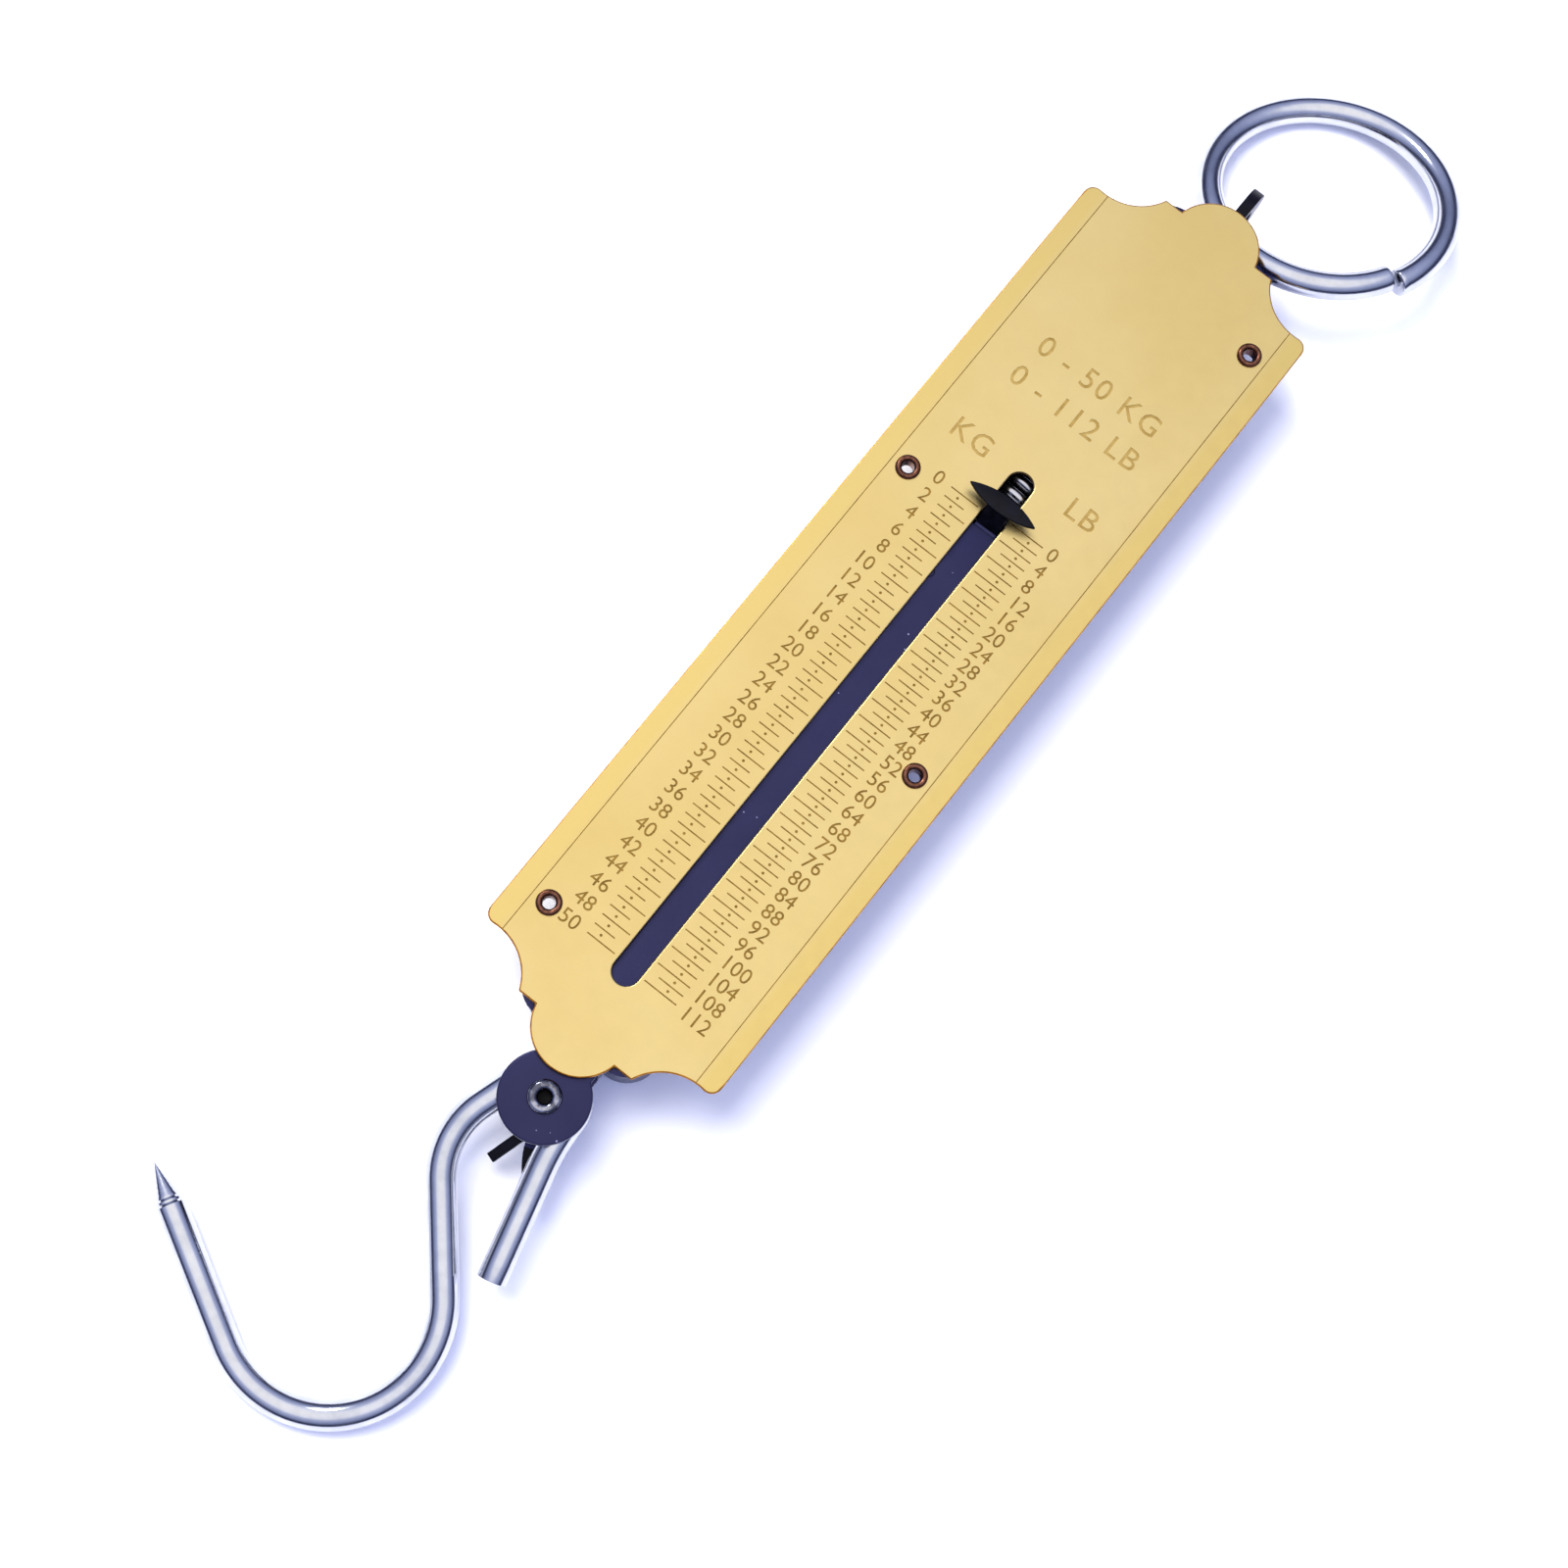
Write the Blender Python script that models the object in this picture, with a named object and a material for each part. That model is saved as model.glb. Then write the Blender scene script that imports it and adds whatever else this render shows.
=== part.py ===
"""Hanging spring scale: a brass dial plate eyeletted to a black steel tray, with a spring-loaded draw bar,
an S-hook for the load and a split ring to hang it by.

The scale lies on its back. +Y runs along the dial towards the ring, +X across it to the right, and +Z is the
dial's own normal. The origin is the middle of the tray's flat back. All sizes are in metres.
"""

import math

import bmesh
import bpy
from mathutils import Matrix, Vector

MM = 0.001

# Clearances
SEAT_GAP = 0.3 * MM  # between two sheets that lie on each other
HOLE_GAP = 0.3 * MM  # round a rivet or an eyelet
RUN_GAP = 0.1 * MM  # round a pin that turns or is pressed in
TABLE_GAP = 0.02 * MM  # under the ring and the hook where they rest

# Dial plate
PLATE_WIDTH = 48.5 * MM
PLATE_LENGTH = 195.4 * MM
PLATE_THICK = 0.8 * MM
DOME_RADIUS = 8.45 * MM
SHOULDER_DROP = 6.6 * MM  # from the dome's top to the two little shoulders beside it
SCOOP_RADIUS = 10 * MM
SCOOP_IN = 3.25 * MM  # from the dial's long edge to the scoop's centre
SCOOP_DOWN = 2.7 * MM  # from the dome's top to the scoop's centre
CORNER_SIZE = 2 * MM
POINTER_Y = 25.5 * MM  # the pointer's middle, at no load
TRAVEL = 100 * MM  # 2 mm to the kilogram, 50 kg
SLOT_WIDTH = 4.9 * MM
SLOT_PAST_ZERO = 8.2 * MM  # from the pointer at no load to the slot's end nearest the ring
SLOT_PAST_FULL = 5.6 * MM  # from the pointer at full load to the slot's other end

# Tray
TOTAL_DEPTH = 20 * MM  # the table to the dial's front
TRAY_WALL = 1 * MM
TRAY_WIDTH = 26 * MM
TRAY_END_INSET = 6.2 * MM  # from the dial's end to the tray's end wall
TRAY_CORNER = 6 * MM
TRAY_BACK_BEVEL = 2.5 * MM
LIP = 1.4 * MM  # how far the tray's ends turn outwards
FLANGE_SIDE_INSET = 4.05 * MM  # from the dial's edges to the flange's
FLANGE_END_INSET = 14.7 * MM
END_WALL_CUT = 4.8 * MM  # depth of the draw bar's way out of the lower end wall
END_WALL_PLAY = 1.2 * MM  # beside the askew draw bar in that way out

# Eyelets, two beside each long edge of the dial
EYELET_SIDE_INSET = 7.15 * MM  # from the dial's long edge
EYELET_END_INSET = 21 * MM  # the outer pair, from the dial's end
EYELET_INNER_Y = 21.4 * MM
EYELET_TUBE = 1.5 * MM
EYELET_BORE = 1.15 * MM
EYELET_ROLL = 2.25 * MM
EYELET_HEIGHT = 0.5 * MM
EYELET_SEAT = 0.15 * MM

# Draw bar and pointer; the bar lies a little askew in its wide guide
DRAW_SKEW = math.radians(1.09)
BAR_THICK = 1.5 * MM
BAR_WIDTH = 9.2 * MM
BEND_DROP = 3.9 * MM  # from the pointer's middle down to the bend in the bar
NECK_WIDTH = 4.2 * MM
NECK_THICK = 1.2 * MM
POINTER_LENGTH = 14 * MM
POINTER_WIDTH = 3.5 * MM
POINTER_THICK = 0.9 * MM
POINTER_LIFT = 2 * MM  # clear height over the dial

# Clevis that carries the hook
RIVET_OUT = 4.2 * MM  # from the dial's end to the hook's rivet
EAR_RADIUS = 7.85 * MM
REAR_EAR_RADIUS = 7 * MM
CLEVIS_GAP = 8.1 * MM
WEB_OUT = 8.3 * MM  # from the rivet's axis to the strap that joins the rear ear to the bar
STRAP_FOOT = 13 * MM
RIVET_SHANK = 1.9 * MM
RIVET_HEAD = 2.9 * MM
RIVET_BORE = 1.15 * MM
RIVET_HEAD_HEIGHT = 0.9 * MM  # of the rolled front
RIVET_FOOT_HEIGHT = 1 * MM  # of the solid back
SLEEVE_OUTER = 2.6 * MM
PRONG_WIDTH = 1.8 * MM
PRONG_THICK = 1.2 * MM
PRONG_REACH = 13.2 * MM
PRONG_SPLAY = math.radians(19)
PRONG_DROOP = math.radians(22)
PRONG_SHIFT = 1.2 * MM  # the pair stands off the ear's middle line
PRONG_APART = 0.9 * MM  # from the pair's middle to each root
PRONG_IN = 0.6 * MM  # the root, inside the ear's edge
PRONG_SINK = 0.12 * MM  # and below its face
SMALL_RIVET = 0.9 * MM
SMALL_RIVET_HEAD = 1.5 * MM
SMALL_RIVET_HEAD_THICK = 0.8 * MM

# Load hook, bent from round wire
HOOK_WIRE = 2.6 * MM  # radius
EYE_RADIUS = 5.4 * MM
SHORT_LEG_BEND = (37 * MM, 14.4)  # radius and degrees
SHORT_LEG = 19.7 * MM
EYE_WRAP = 162  # degrees from the short leg's side round to the shank
EYE_RUN_OUT = 9.1 * MM
KNEE = (14.5 * MM, 58.3)
SHANK = 18.7 * MM
BOWL = (18.6 * MM, 159.4)
POINT_LEG = 24.5 * MM
POINT_LENGTH = 7.5 * MM
POINT_TIP = 0.08 * MM  # radius of the blunted tip

# Hanger tab, its pin and the ring
TAB_THICK = 2.2 * MM
TAB_WIDTH = 12 * MM
TAB_LENGTH = 28.7 * MM
TAB_OUT = 9 * MM  # how far the tab's tip stands out past the dial's end
TAB_FRONT_DROP = 1.6 * MM  # below the dial's front
RING_HOLE_IN = 8.8 * MM  # from the tab's tip
RING_HOLE = 4.8 * MM  # radius
RING_HOLE_LOW = 0.1 * MM  # below the tab's middle
PIN_IN = 21.5 * MM  # from the tab's tip
PIN_RADIUS = 1.5 * MM
PIN_HEAD = 2.6 * MM
PIN_HEAD_THICK = 0.9 * MM
RING_RADIUS = 22.15 * MM
RING_WIRE = 2.5 * MM  # radius
RING_ROLL = math.radians(-12.5)  # the ring lies over to the left
RING_GRIP = math.radians(-114.0)  # where along the ring the tab is
RING_GRIP_Y = 0.99 * MM  # the wire's middle from the hole's, towards the dial
RING_GRIP_Z = -0.10 * MM
RING_CUT_AT = math.radians(-23)
RING_CUT = math.radians(1.4)
RING_CUT_OFFSET = 1.6 * MM  # the two cut ends stand a little beside each other

# Extension spring
SPRING_WIRE = 1.15 * MM  # radius
SPRING_RADIUS = 6.6 * MM
SPRING_DEPTH = 10.8 * MM  # its axis below the dial's front
SPRING_TURNS = 18
SPRING_HOLE_IN = 24.4 * MM  # from the tab's tip to the hole that takes the spring's upper loop
LUG_HOLE_DROP = 10 * MM  # from the pointer down to the hole that takes the spring's lower loop
SPRING_HOLE = 1.7 * MM
LOOP_BEND = 3 * MM
LUG_THICK = 2 * MM
LUG_WIDTH = 6.6 * MM
LUG_FOOT_THICK = 1.2 * MM
LUG_FOOT_LENGTH = 13 * MM
LUG_RIVET_X = 3.25 * MM
LUG_RIVET_UP = 2.6 * MM  # from the foot's lower end
STRAP_RIVETS_OUT = (4 * MM, 8.5 * MM)  # from the strap's web

# Places and heights that follow from the sizes above
DIAL_END = PLATE_LENGTH / 2
SLOT_TOP = POINTER_Y + SLOT_PAST_ZERO
SLOT_BOTTOM = POINTER_Y - TRAVEL - SLOT_PAST_FULL
TRAY_LENGTH = PLATE_LENGTH - 2 * TRAY_END_INSET
FLANGE_WIDTH = PLATE_WIDTH - 2 * FLANGE_SIDE_INSET
FLANGE_LENGTH = PLATE_LENGTH - 2 * FLANGE_END_INSET
EYELET_X = PLATE_WIDTH / 2 - EYELET_SIDE_INSET
EYELET_OUTER_Y = DIAL_END - EYELET_END_INSET
RIVET_DROP = POINTER_Y + DIAL_END + RIVET_OUT  # from the pointer down to the hook's rivet
TAB_TIP_Y = DIAL_END + TAB_OUT
TAB_FOOT_Y = TAB_TIP_Y - TAB_LENGTH
RING_HOLE_Y = TAB_TIP_Y - RING_HOLE_IN
PIN_Y = TAB_TIP_Y - PIN_IN
SPRING_TOP_HOLE_Y = TAB_TIP_Y - SPRING_HOLE_IN
DIAL_BACK = TOTAL_DEPTH - PLATE_THICK
FLANGE_TOP = DIAL_BACK - SEAT_GAP
FLANGE_BACK = FLANGE_TOP - TRAY_WALL
BAR_TOP = FLANGE_TOP
BAR_BACK = BAR_TOP - BAR_THICK
REAR_EAR_TOP = BAR_BACK - CLEVIS_GAP
REAR_EAR_BACK = REAR_EAR_TOP - BAR_THICK
HOOK_HEIGHT = BAR_BACK - CLEVIS_GAP / 2
POINTER_BACK = TOTAL_DEPTH + POINTER_LIFT
SPRING_Z = TOTAL_DEPTH - SPRING_DEPTH
TAB_FRONT = TOTAL_DEPTH - TAB_FRONT_DROP
TAB_MIDDLE = TAB_FRONT - TAB_WIDTH / 2
RING_HOLE_Z = TAB_MIDDLE - RING_HOLE_LOW

# Turns a flat outline drawn in X and Y into one that stands in Y and Z, with its thickness along X
UPRIGHT = Matrix(((0, 0, 1, 0), (1, 0, 0, 0), (0, 1, 0, 0), (0, 0, 0, 1)))


def paint(name, colour, metallic, roughness):
    """A plain material for one kind of finish."""
    made = bpy.data.materials.new(name)
    made.use_nodes = True
    shader = made.node_tree.nodes["Principled BSDF"]
    shader.inputs["Base Color"].default_value = (*colour, 1)
    shader.inputs["Metallic"].default_value = metallic
    shader.inputs["Roughness"].default_value = roughness
    made.diffuse_color = (*colour, 1)
    return made


def empty(name, location, rotation=(0, 0, 0), parent=None):
    """A marker on a joint's axis, which its moving pieces hang from."""
    made = bpy.data.objects.new(name, None)
    bpy.context.scene.collection.objects.link(made)
    made.empty_display_size = 0.01
    made.location = location
    made.rotation_euler = rotation
    made.parent = parent
    return made


def add(name, data, material, parent=None):
    """An object for one sub-part, with its material."""
    made = bpy.data.objects.new(name, data)
    bpy.context.scene.collection.objects.link(made)
    made.parent = parent
    if material:
        data.materials.append(material)
    return made


def mesh_from(bm, name, smooth=True):
    """The finished mesh, its faces turned outwards and its round faces shaded smooth."""
    bmesh.ops.recalc_face_normals(bm, faces=bm.faces)
    mesh = bpy.data.meshes.new(name)
    bm.to_mesh(mesh)
    bm.free()
    if smooth:
        mesh.shade_smooth()
        mesh.set_sharp_from_angle(angle=math.radians(35))
    return mesh


def prism(outline, low, high):
    """A flat outline in X and Y made solid from one height to another."""
    bm = bmesh.new()
    floor = bm.faces.new([bm.verts.new((x, y, low)) for x, y in outline])
    grown = bmesh.ops.extrude_face_region(bm, geom=[floor])
    moved = [item for item in grown["geom"] if isinstance(item, bmesh.types.BMVert)]
    bmesh.ops.translate(bm, vec=(0, 0, high - low), verts=moved)
    return bm


def block(low, high):
    """A plain box between two corners."""
    corners = [(low[0], low[1]), (high[0], low[1]), (high[0], high[1]), (low[0], high[1])]
    return prism(corners, low[2], high[2])


def rod(centre, radius, low, high, sides=32):
    """A plain round bar along Z."""
    x, y = centre
    around = [2 * math.pi * i / sides for i in range(sides)]
    return prism([(x + radius * math.cos(a), y + radius * math.sin(a)) for a in around], low, high)


def turned(profile, sides=24):
    """A profile of (radius, height) points turned about Z. A point on the axis has radius 0."""
    bm = bmesh.new()
    rings = []
    for radius, height in profile:
        steps = sides if radius > 0 else 1
        angles = [2 * math.pi * i / sides for i in range(steps)]
        rings.append([bm.verts.new((radius * math.cos(a), radius * math.sin(a), height)) for a in angles])
    for first, second in zip(rings, rings[1:] + rings[:1]):
        if len(first) == 1 and len(second) == 1:
            continue
        for i in range(sides):
            j = (i + 1) % sides
            corners = [ring[k % len(ring)] for ring, k in ((first, i), (first, j), (second, j), (second, i))]
            bm.faces.new(list(dict.fromkeys(corners)))
    return bm


def arc(centre, radius, start, end, steps):
    """Points along a circle from one angle to another, in degrees, both ends included."""
    angles = [math.radians(start + (end - start) * i / steps) for i in range(steps + 1)]
    return [(centre[0] + radius * math.cos(a), centre[1] + radius * math.sin(a)) for a in angles]


def rounded_rectangle(width, length, corner, steps=4):
    """A rectangle about the origin, with round corners, anticlockwise."""
    x, y = width / 2 - corner, length / 2 - corner
    points = []
    for sign_x, sign_y, start in ((1, 1, 0), (-1, 1, 90), (-1, -1, 180), (1, -1, 270)):
        points += arc((sign_x * x, sign_y * y), corner, start, start + 90, steps)
    return points


def helper(name, bm, parent=None):
    """A shape that a Boolean uses. It isn't a piece of the scale."""
    made = add(name, mesh_from(bm, name, smooth=False), None, parent)
    made.hide_render = True
    made.display_type = "WIRE"
    return made


def boolean(target, other, operation):
    """A live Boolean with the exact solver."""
    modifier = target.modifiers.new(other.name, "BOOLEAN")
    modifier.operation = operation
    modifier.solver = "EXACT"
    modifier.object = other


def tube(name, points, radius, material, parent=None, taper=None, sides_level=3):
    """Round wire along a list of points, with closed ends. taper scales the wire at each point."""
    curve = bpy.data.curves.new(name, "CURVE")
    curve.dimensions = "3D"
    curve.bevel_depth = radius
    curve.bevel_resolution = sides_level
    curve.use_fill_caps = True
    spline = curve.splines.new("POLY")
    spline.points.add(len(points) - 1)
    for i, point in enumerate(points):
        spline.points[i].co = (*point, 1)
        spline.points[i].radius = taper[i] if taper else 1
    spline.use_smooth = True
    return add(name, curve, material, parent)


def dial_outline(arc_steps=6):
    """The dial's outline: a dome at each end, a shoulder beside it, a hollow scoop and a rounded corner."""
    half_width, half_length = PLATE_WIDTH / 2, DIAL_END
    scoop = (half_width - SCOOP_IN, half_length - SCOOP_DOWN)
    shoulder_y = half_length - SHOULDER_DROP
    dome_y = half_length - DOME_RADIUS
    corner_x = half_width - CORNER_SIZE
    scoop_start = -math.degrees(math.acos((corner_x - scoop[0]) / SCOOP_RADIUS))
    scoop_end = math.degrees(math.asin((shoulder_y - scoop[1]) / SCOOP_RADIUS))
    corner_y = scoop[1] + SCOOP_RADIUS * math.sin(math.radians(scoop_start)) - CORNER_SIZE
    dome_start = math.degrees(math.asin((shoulder_y - dome_y) / DOME_RADIUS))
    quarter = arc((corner_x, corner_y), CORNER_SIZE, 0, 90, 3)[:-1]
    quarter += arc(scoop, SCOOP_RADIUS, scoop_start, -180 - scoop_end, arc_steps)
    quarter += arc((0, dome_y), DOME_RADIUS, dome_start, 90, arc_steps)
    right_top = quarter
    left_top = [(-x, y) for x, y in reversed(quarter[:-1])]
    bottom = [(-x, -y) for x, y in right_top + left_top]
    return right_top + left_top + bottom


def eyelet_places():
    """The four eyelets, one pair beside each long edge, staggered."""
    return [
        (EYELET_X, EYELET_OUTER_Y),
        (-EYELET_X, EYELET_INNER_Y),
        (EYELET_X, -EYELET_INNER_Y),
        (-EYELET_X, -EYELET_OUTER_Y),
    ]


def face_plate(material):
    """The brass dial with its slot and eyelet holes."""
    plate = add("face_plate", mesh_from(prism(dial_outline(), DIAL_BACK, TOTAL_DEPTH), "face_plate"), material)
    radius = SLOT_WIDTH / 2
    slot = arc((0, SLOT_TOP - radius), radius, 0, 180, 12) + arc((0, SLOT_BOTTOM + radius), radius, 180, 360, 12)
    boolean(plate, helper("slot_cutter", prism(slot, DIAL_BACK - MM, TOTAL_DEPTH + MM)), "DIFFERENCE")
    return plate


def back_housing(material):
    """The pressed steel tray: flat back, four walls, and a flange that the dial is eyeletted to."""
    outer = prism(rounded_rectangle(TRAY_WIDTH, TRAY_LENGTH, TRAY_CORNER), 0, FLANGE_TOP - TRAY_WALL / 2)
    bevel_low_edges(outer, 0, TRAY_BACK_BEVEL)
    tray = add("back_housing", mesh_from(outer, "back_housing"), material)

    sides = rounded_rectangle(FLANGE_WIDTH, FLANGE_LENGTH, CORNER_SIZE)
    lips = rounded_rectangle(TRAY_WIDTH + LIP / 2, TRAY_LENGTH + 2 * LIP, TRAY_CORNER)
    boolean(tray, helper("flange_sides", prism(sides, FLANGE_BACK, FLANGE_TOP)), "UNION")
    boolean(tray, helper("flange_ends", prism(lips, FLANGE_BACK, FLANGE_TOP)), "UNION")

    wall = TRAY_WALL
    inside = rounded_rectangle(TRAY_WIDTH - 2 * wall, TRAY_LENGTH - 2 * wall, TRAY_CORNER - wall)
    cavity = prism(inside, wall, TOTAL_DEPTH)
    bevel_low_edges(cavity, wall, TRAY_BACK_BEVEL - wall)
    boolean(tray, helper("tray_cavity", cavity), "DIFFERENCE")

    end = TRAY_LENGTH / 2
    draw_half = BAR_WIDTH / 2 + math.tan(DRAW_SKEW) * (end + POINTER_Y) + END_WALL_PLAY
    low, high = (-draw_half, -end - 2 * LIP, FLANGE_TOP - END_WALL_CUT), (draw_half, -end + 2 * wall, TOTAL_DEPTH)
    boolean(tray, helper("draw_bar_notch", block(low, high)), "DIFFERENCE")
    tab_half = TAB_THICK / 2 + HOLE_GAP
    low = (-tab_half, end - 2 * wall, TAB_FRONT - TAB_WIDTH - HOLE_GAP)
    high = (tab_half, end + 2 * LIP, TOTAL_DEPTH)
    boolean(tray, helper("tab_slot", block(low, high)), "DIFFERENCE")

    reach = TRAY_WIDTH / 2 + MM
    pin_way = rod((PIN_Y, TAB_MIDDLE), PIN_RADIUS + RUN_GAP, -reach, reach)
    bmesh.ops.transform(pin_way, matrix=UPRIGHT, verts=pin_way.verts)
    boolean(tray, helper("pin_way", pin_way), "DIFFERENCE")
    return tray


def bevel_low_edges(bm, height, width):
    """Rounds the edge all round the lowest face."""
    bmesh.ops.recalc_face_normals(bm, faces=bm.faces)
    low = [e for e in bm.edges if all(abs(v.co.z - height) < 0.01 * MM for v in e.verts)]
    bmesh.ops.bevel(bm, geom=low, offset=width, segments=2, profile=0.5, affect="EDGES")


def eyelets(plate, tray, material):
    """Four rolled eyelets, and their holes through the dial and the flange."""
    front, back = TOTAL_DEPTH + EYELET_SEAT, FLANGE_BACK - EYELET_SEAT
    profile = [
        (EYELET_BORE, back - EYELET_HEIGHT),
        (EYELET_TUBE, back - EYELET_HEIGHT),
        (EYELET_ROLL - 0.2 * MM, back - EYELET_HEIGHT / 2),
        (EYELET_ROLL - 0.2 * MM, back),
        (EYELET_TUBE, back),
        (EYELET_TUBE, front),
        (EYELET_ROLL, front),
        (EYELET_ROLL, front + EYELET_HEIGHT / 2),
        (EYELET_ROLL - 0.35 * MM, front + EYELET_HEIGHT),
        (EYELET_BORE + 0.25 * MM, front + EYELET_HEIGHT),
        (EYELET_BORE, front + EYELET_HEIGHT / 2),
    ]
    for number, place in enumerate(eyelet_places(), start=1):
        made = add(f"eyelet_{number}", mesh_from(turned(profile), "eyelet"), material)
        made.location = (*place, 0)
        hole = rod(place, EYELET_TUBE + HOLE_GAP, FLANGE_BACK - MM, TOTAL_DEPTH + MM)
        cutter = helper(f"eyelet_hole_{number}", hole)
        boolean(plate, cutter, "DIFFERENCE")
        boolean(tray, cutter, "DIFFERENCE")


def draw_bar(frame, material):
    """The strip behind the dial. Its top bends up into the pointer, and its end is the clevis's front ear."""
    outline = [(BAR_WIDTH / 2, -BEND_DROP - 0.4 * MM), (-BAR_WIDTH / 2, -BEND_DROP - 0.4 * MM)]
    reach = math.degrees(math.acos(BAR_WIDTH / 2 / EAR_RADIUS))
    outline += arc((0, -RIVET_DROP), EAR_RADIUS, 180 - reach, 360 + reach, 24)
    bar = add("draw_bar", mesh_from(prism(outline, BAR_BACK, BAR_TOP), "draw_bar"), material, frame)

    half = NECK_THICK / 2
    foot, top = Vector((-BEND_DROP - 1.2 * MM, BAR_TOP - half)), Vector((-1.4 * MM, POINTER_BACK + half / 2))
    bend = Vector((-BEND_DROP, BAR_TOP - half))
    rise = (top - bend).normalized()
    across = Vector((-rise.y, rise.x)) * half
    lift = Vector((0, half * 0.92))
    profile = [foot - lift, bend - lift + Vector((half, 0)), top - across, top + across, bend + lift, foot + lift]
    neck = prism([tuple(p) for p in profile], -NECK_WIDTH / 2, NECK_WIDTH / 2)
    bmesh.ops.transform(neck, matrix=UPRIGHT, verts=neck.verts)
    boolean(bar, helper("pointer_neck", neck, frame), "UNION")

    sweep = 2 * math.atan(POINTER_WIDTH / POINTER_LENGTH)
    radius = POINTER_LENGTH / 2 / math.sin(sweep)
    rise_y = radius - POINTER_WIDTH / 2
    spread = math.degrees(sweep)
    upper = arc((0, -rise_y), radius, 90 - spread, 90 + spread, 10)
    lower = arc((0, rise_y), radius, 270 - spread, 270 + spread, 10)
    blade = prism(upper[:-1] + lower[:-1], POINTER_BACK, POINTER_BACK + POINTER_THICK)
    boolean(bar, helper("pointer_blade", blade, frame), "UNION")

    hole = rod((0, -RIVET_DROP), RIVET_SHANK + RUN_GAP, BAR_BACK - MM, BAR_TOP + MM)
    boolean(bar, helper("front_ear_hole", hole, frame), "DIFFERENCE")
    return bar


def rear_ear(frame, material):
    """The clevis's rear half: a strap stepped back from the bar, a round ear and two splayed prongs."""
    web = -RIVET_DROP + WEB_OUT
    foot_top = BAR_BACK - SEAT_GAP
    inset = 0.05 * MM
    profile = [
        (-RIVET_DROP, REAR_EAR_BACK + inset),
        (web + BAR_THICK, REAR_EAR_BACK + inset),
        (web + BAR_THICK, foot_top - BAR_THICK),
        (web + STRAP_FOOT, foot_top - BAR_THICK),
        (web + STRAP_FOOT, foot_top),
        (web, foot_top),
        (web, REAR_EAR_TOP - inset),
        (-RIVET_DROP, REAR_EAR_TOP - inset),
    ]
    strap = prism(profile, -BAR_WIDTH / 2, BAR_WIDTH / 2)
    bmesh.ops.transform(strap, matrix=UPRIGHT, verts=strap.verts)
    ear = add("rear_ear", mesh_from(strap, "rear_ear"), material, frame)
    disc = rod((0, -RIVET_DROP), REAR_EAR_RADIUS, REAR_EAR_BACK, REAR_EAR_TOP)
    boolean(ear, helper("rear_ear_disc", disc, frame), "UNION")
    for side in (-1, 1):
        low = (-PRONG_WIDTH / 2, -PRONG_REACH + REAR_EAR_RADIUS, -PRONG_THICK)
        high = (PRONG_WIDTH / 2, 2 * MM, 0)
        prong = block(low, high)
        turn = Matrix.Rotation(side * PRONG_SPLAY, 4, "Z") @ Matrix.Rotation(PRONG_DROOP, 4, "X")
        root_y = -RIVET_DROP - REAR_EAR_RADIUS + PRONG_IN
        root = (PRONG_SHIFT + side * PRONG_APART, root_y, REAR_EAR_TOP - PRONG_SINK)
        bmesh.ops.transform(prong, matrix=Matrix.Translation(root) @ turn, verts=prong.verts)
        boolean(ear, helper(f"prong_{(side + 3) // 2}", prong, frame), "UNION")
    hole = rod((0, -RIVET_DROP), RIVET_SHANK + RUN_GAP, REAR_EAR_BACK - MM, REAR_EAR_TOP + MM)
    boolean(ear, helper("rear_ear_hole", hole, frame), "DIFFERENCE")
    return ear


def clevis_pin(frame, rivet_material, sleeve_material):
    """The hollow rivet through both ears, and the sleeve on it that the hook hangs from."""
    front, back = BAR_TOP + EYELET_SEAT, REAR_EAR_BACK - EYELET_SEAT
    profile = [
        (0, back - RIVET_FOOT_HEIGHT),
        (RIVET_HEAD - 0.6 * MM, back - RIVET_FOOT_HEIGHT),
        (RIVET_HEAD, back - RIVET_FOOT_HEIGHT / 2),
        (RIVET_HEAD, back),
        (RIVET_SHANK, back),
        (RIVET_SHANK, front),
        (RIVET_HEAD, front),
        (RIVET_HEAD, front + 0.4 * MM),
        (RIVET_HEAD - 0.45 * MM, front + 0.85 * MM),
        (RIVET_BORE + 0.55 * MM, front + RIVET_HEAD_HEIGHT),
        (RIVET_BORE, front + 0.4 * MM),
        (RIVET_BORE, BAR_BACK - 2 * MM),
        (0, BAR_BACK - 2 * MM),
    ]
    rivet = add("clevis_rivet", mesh_from(turned(profile, 32), "clevis_rivet"), rivet_material, frame)
    rivet.location = (0, -RIVET_DROP, 0)
    bore = RIVET_SHANK + RUN_GAP
    low, high = REAR_EAR_TOP + SEAT_GAP, BAR_BACK - SEAT_GAP
    wall = [(bore, low), (SLEEVE_OUTER, low), (SLEEVE_OUTER, high), (bore, high)]
    sleeve = add("clevis_sleeve", mesh_from(turned(wall, 32), "clevis_sleeve"), sleeve_material, frame)
    sleeve.location = (0, -RIVET_DROP, 0)


def small_rivet(name, frame, place, grip_back, holed, material):
    """A flush-topped rivet through the bar and the foot behind it, and its hole in both."""
    back = grip_back - EYELET_SEAT
    profile = [
        (0, back - SMALL_RIVET_HEAD_THICK),
        (SMALL_RIVET_HEAD - 0.4 * MM, back - SMALL_RIVET_HEAD_THICK),
        (SMALL_RIVET_HEAD, back - 0.3 * MM),
        (SMALL_RIVET_HEAD, back),
        (SMALL_RIVET, back),
        (SMALL_RIVET, BAR_TOP),
        (0, BAR_TOP),
    ]
    rivet = add(name, mesh_from(turned(profile, 20), name), material, frame)
    rivet.location = (*place, 0)
    hole = helper(f"{name}_hole", rod(place, SMALL_RIVET + RUN_GAP, grip_back - MM, BAR_TOP + MM, 20), frame)
    for part in holed:
        boolean(part, hole, "DIFFERENCE")


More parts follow.
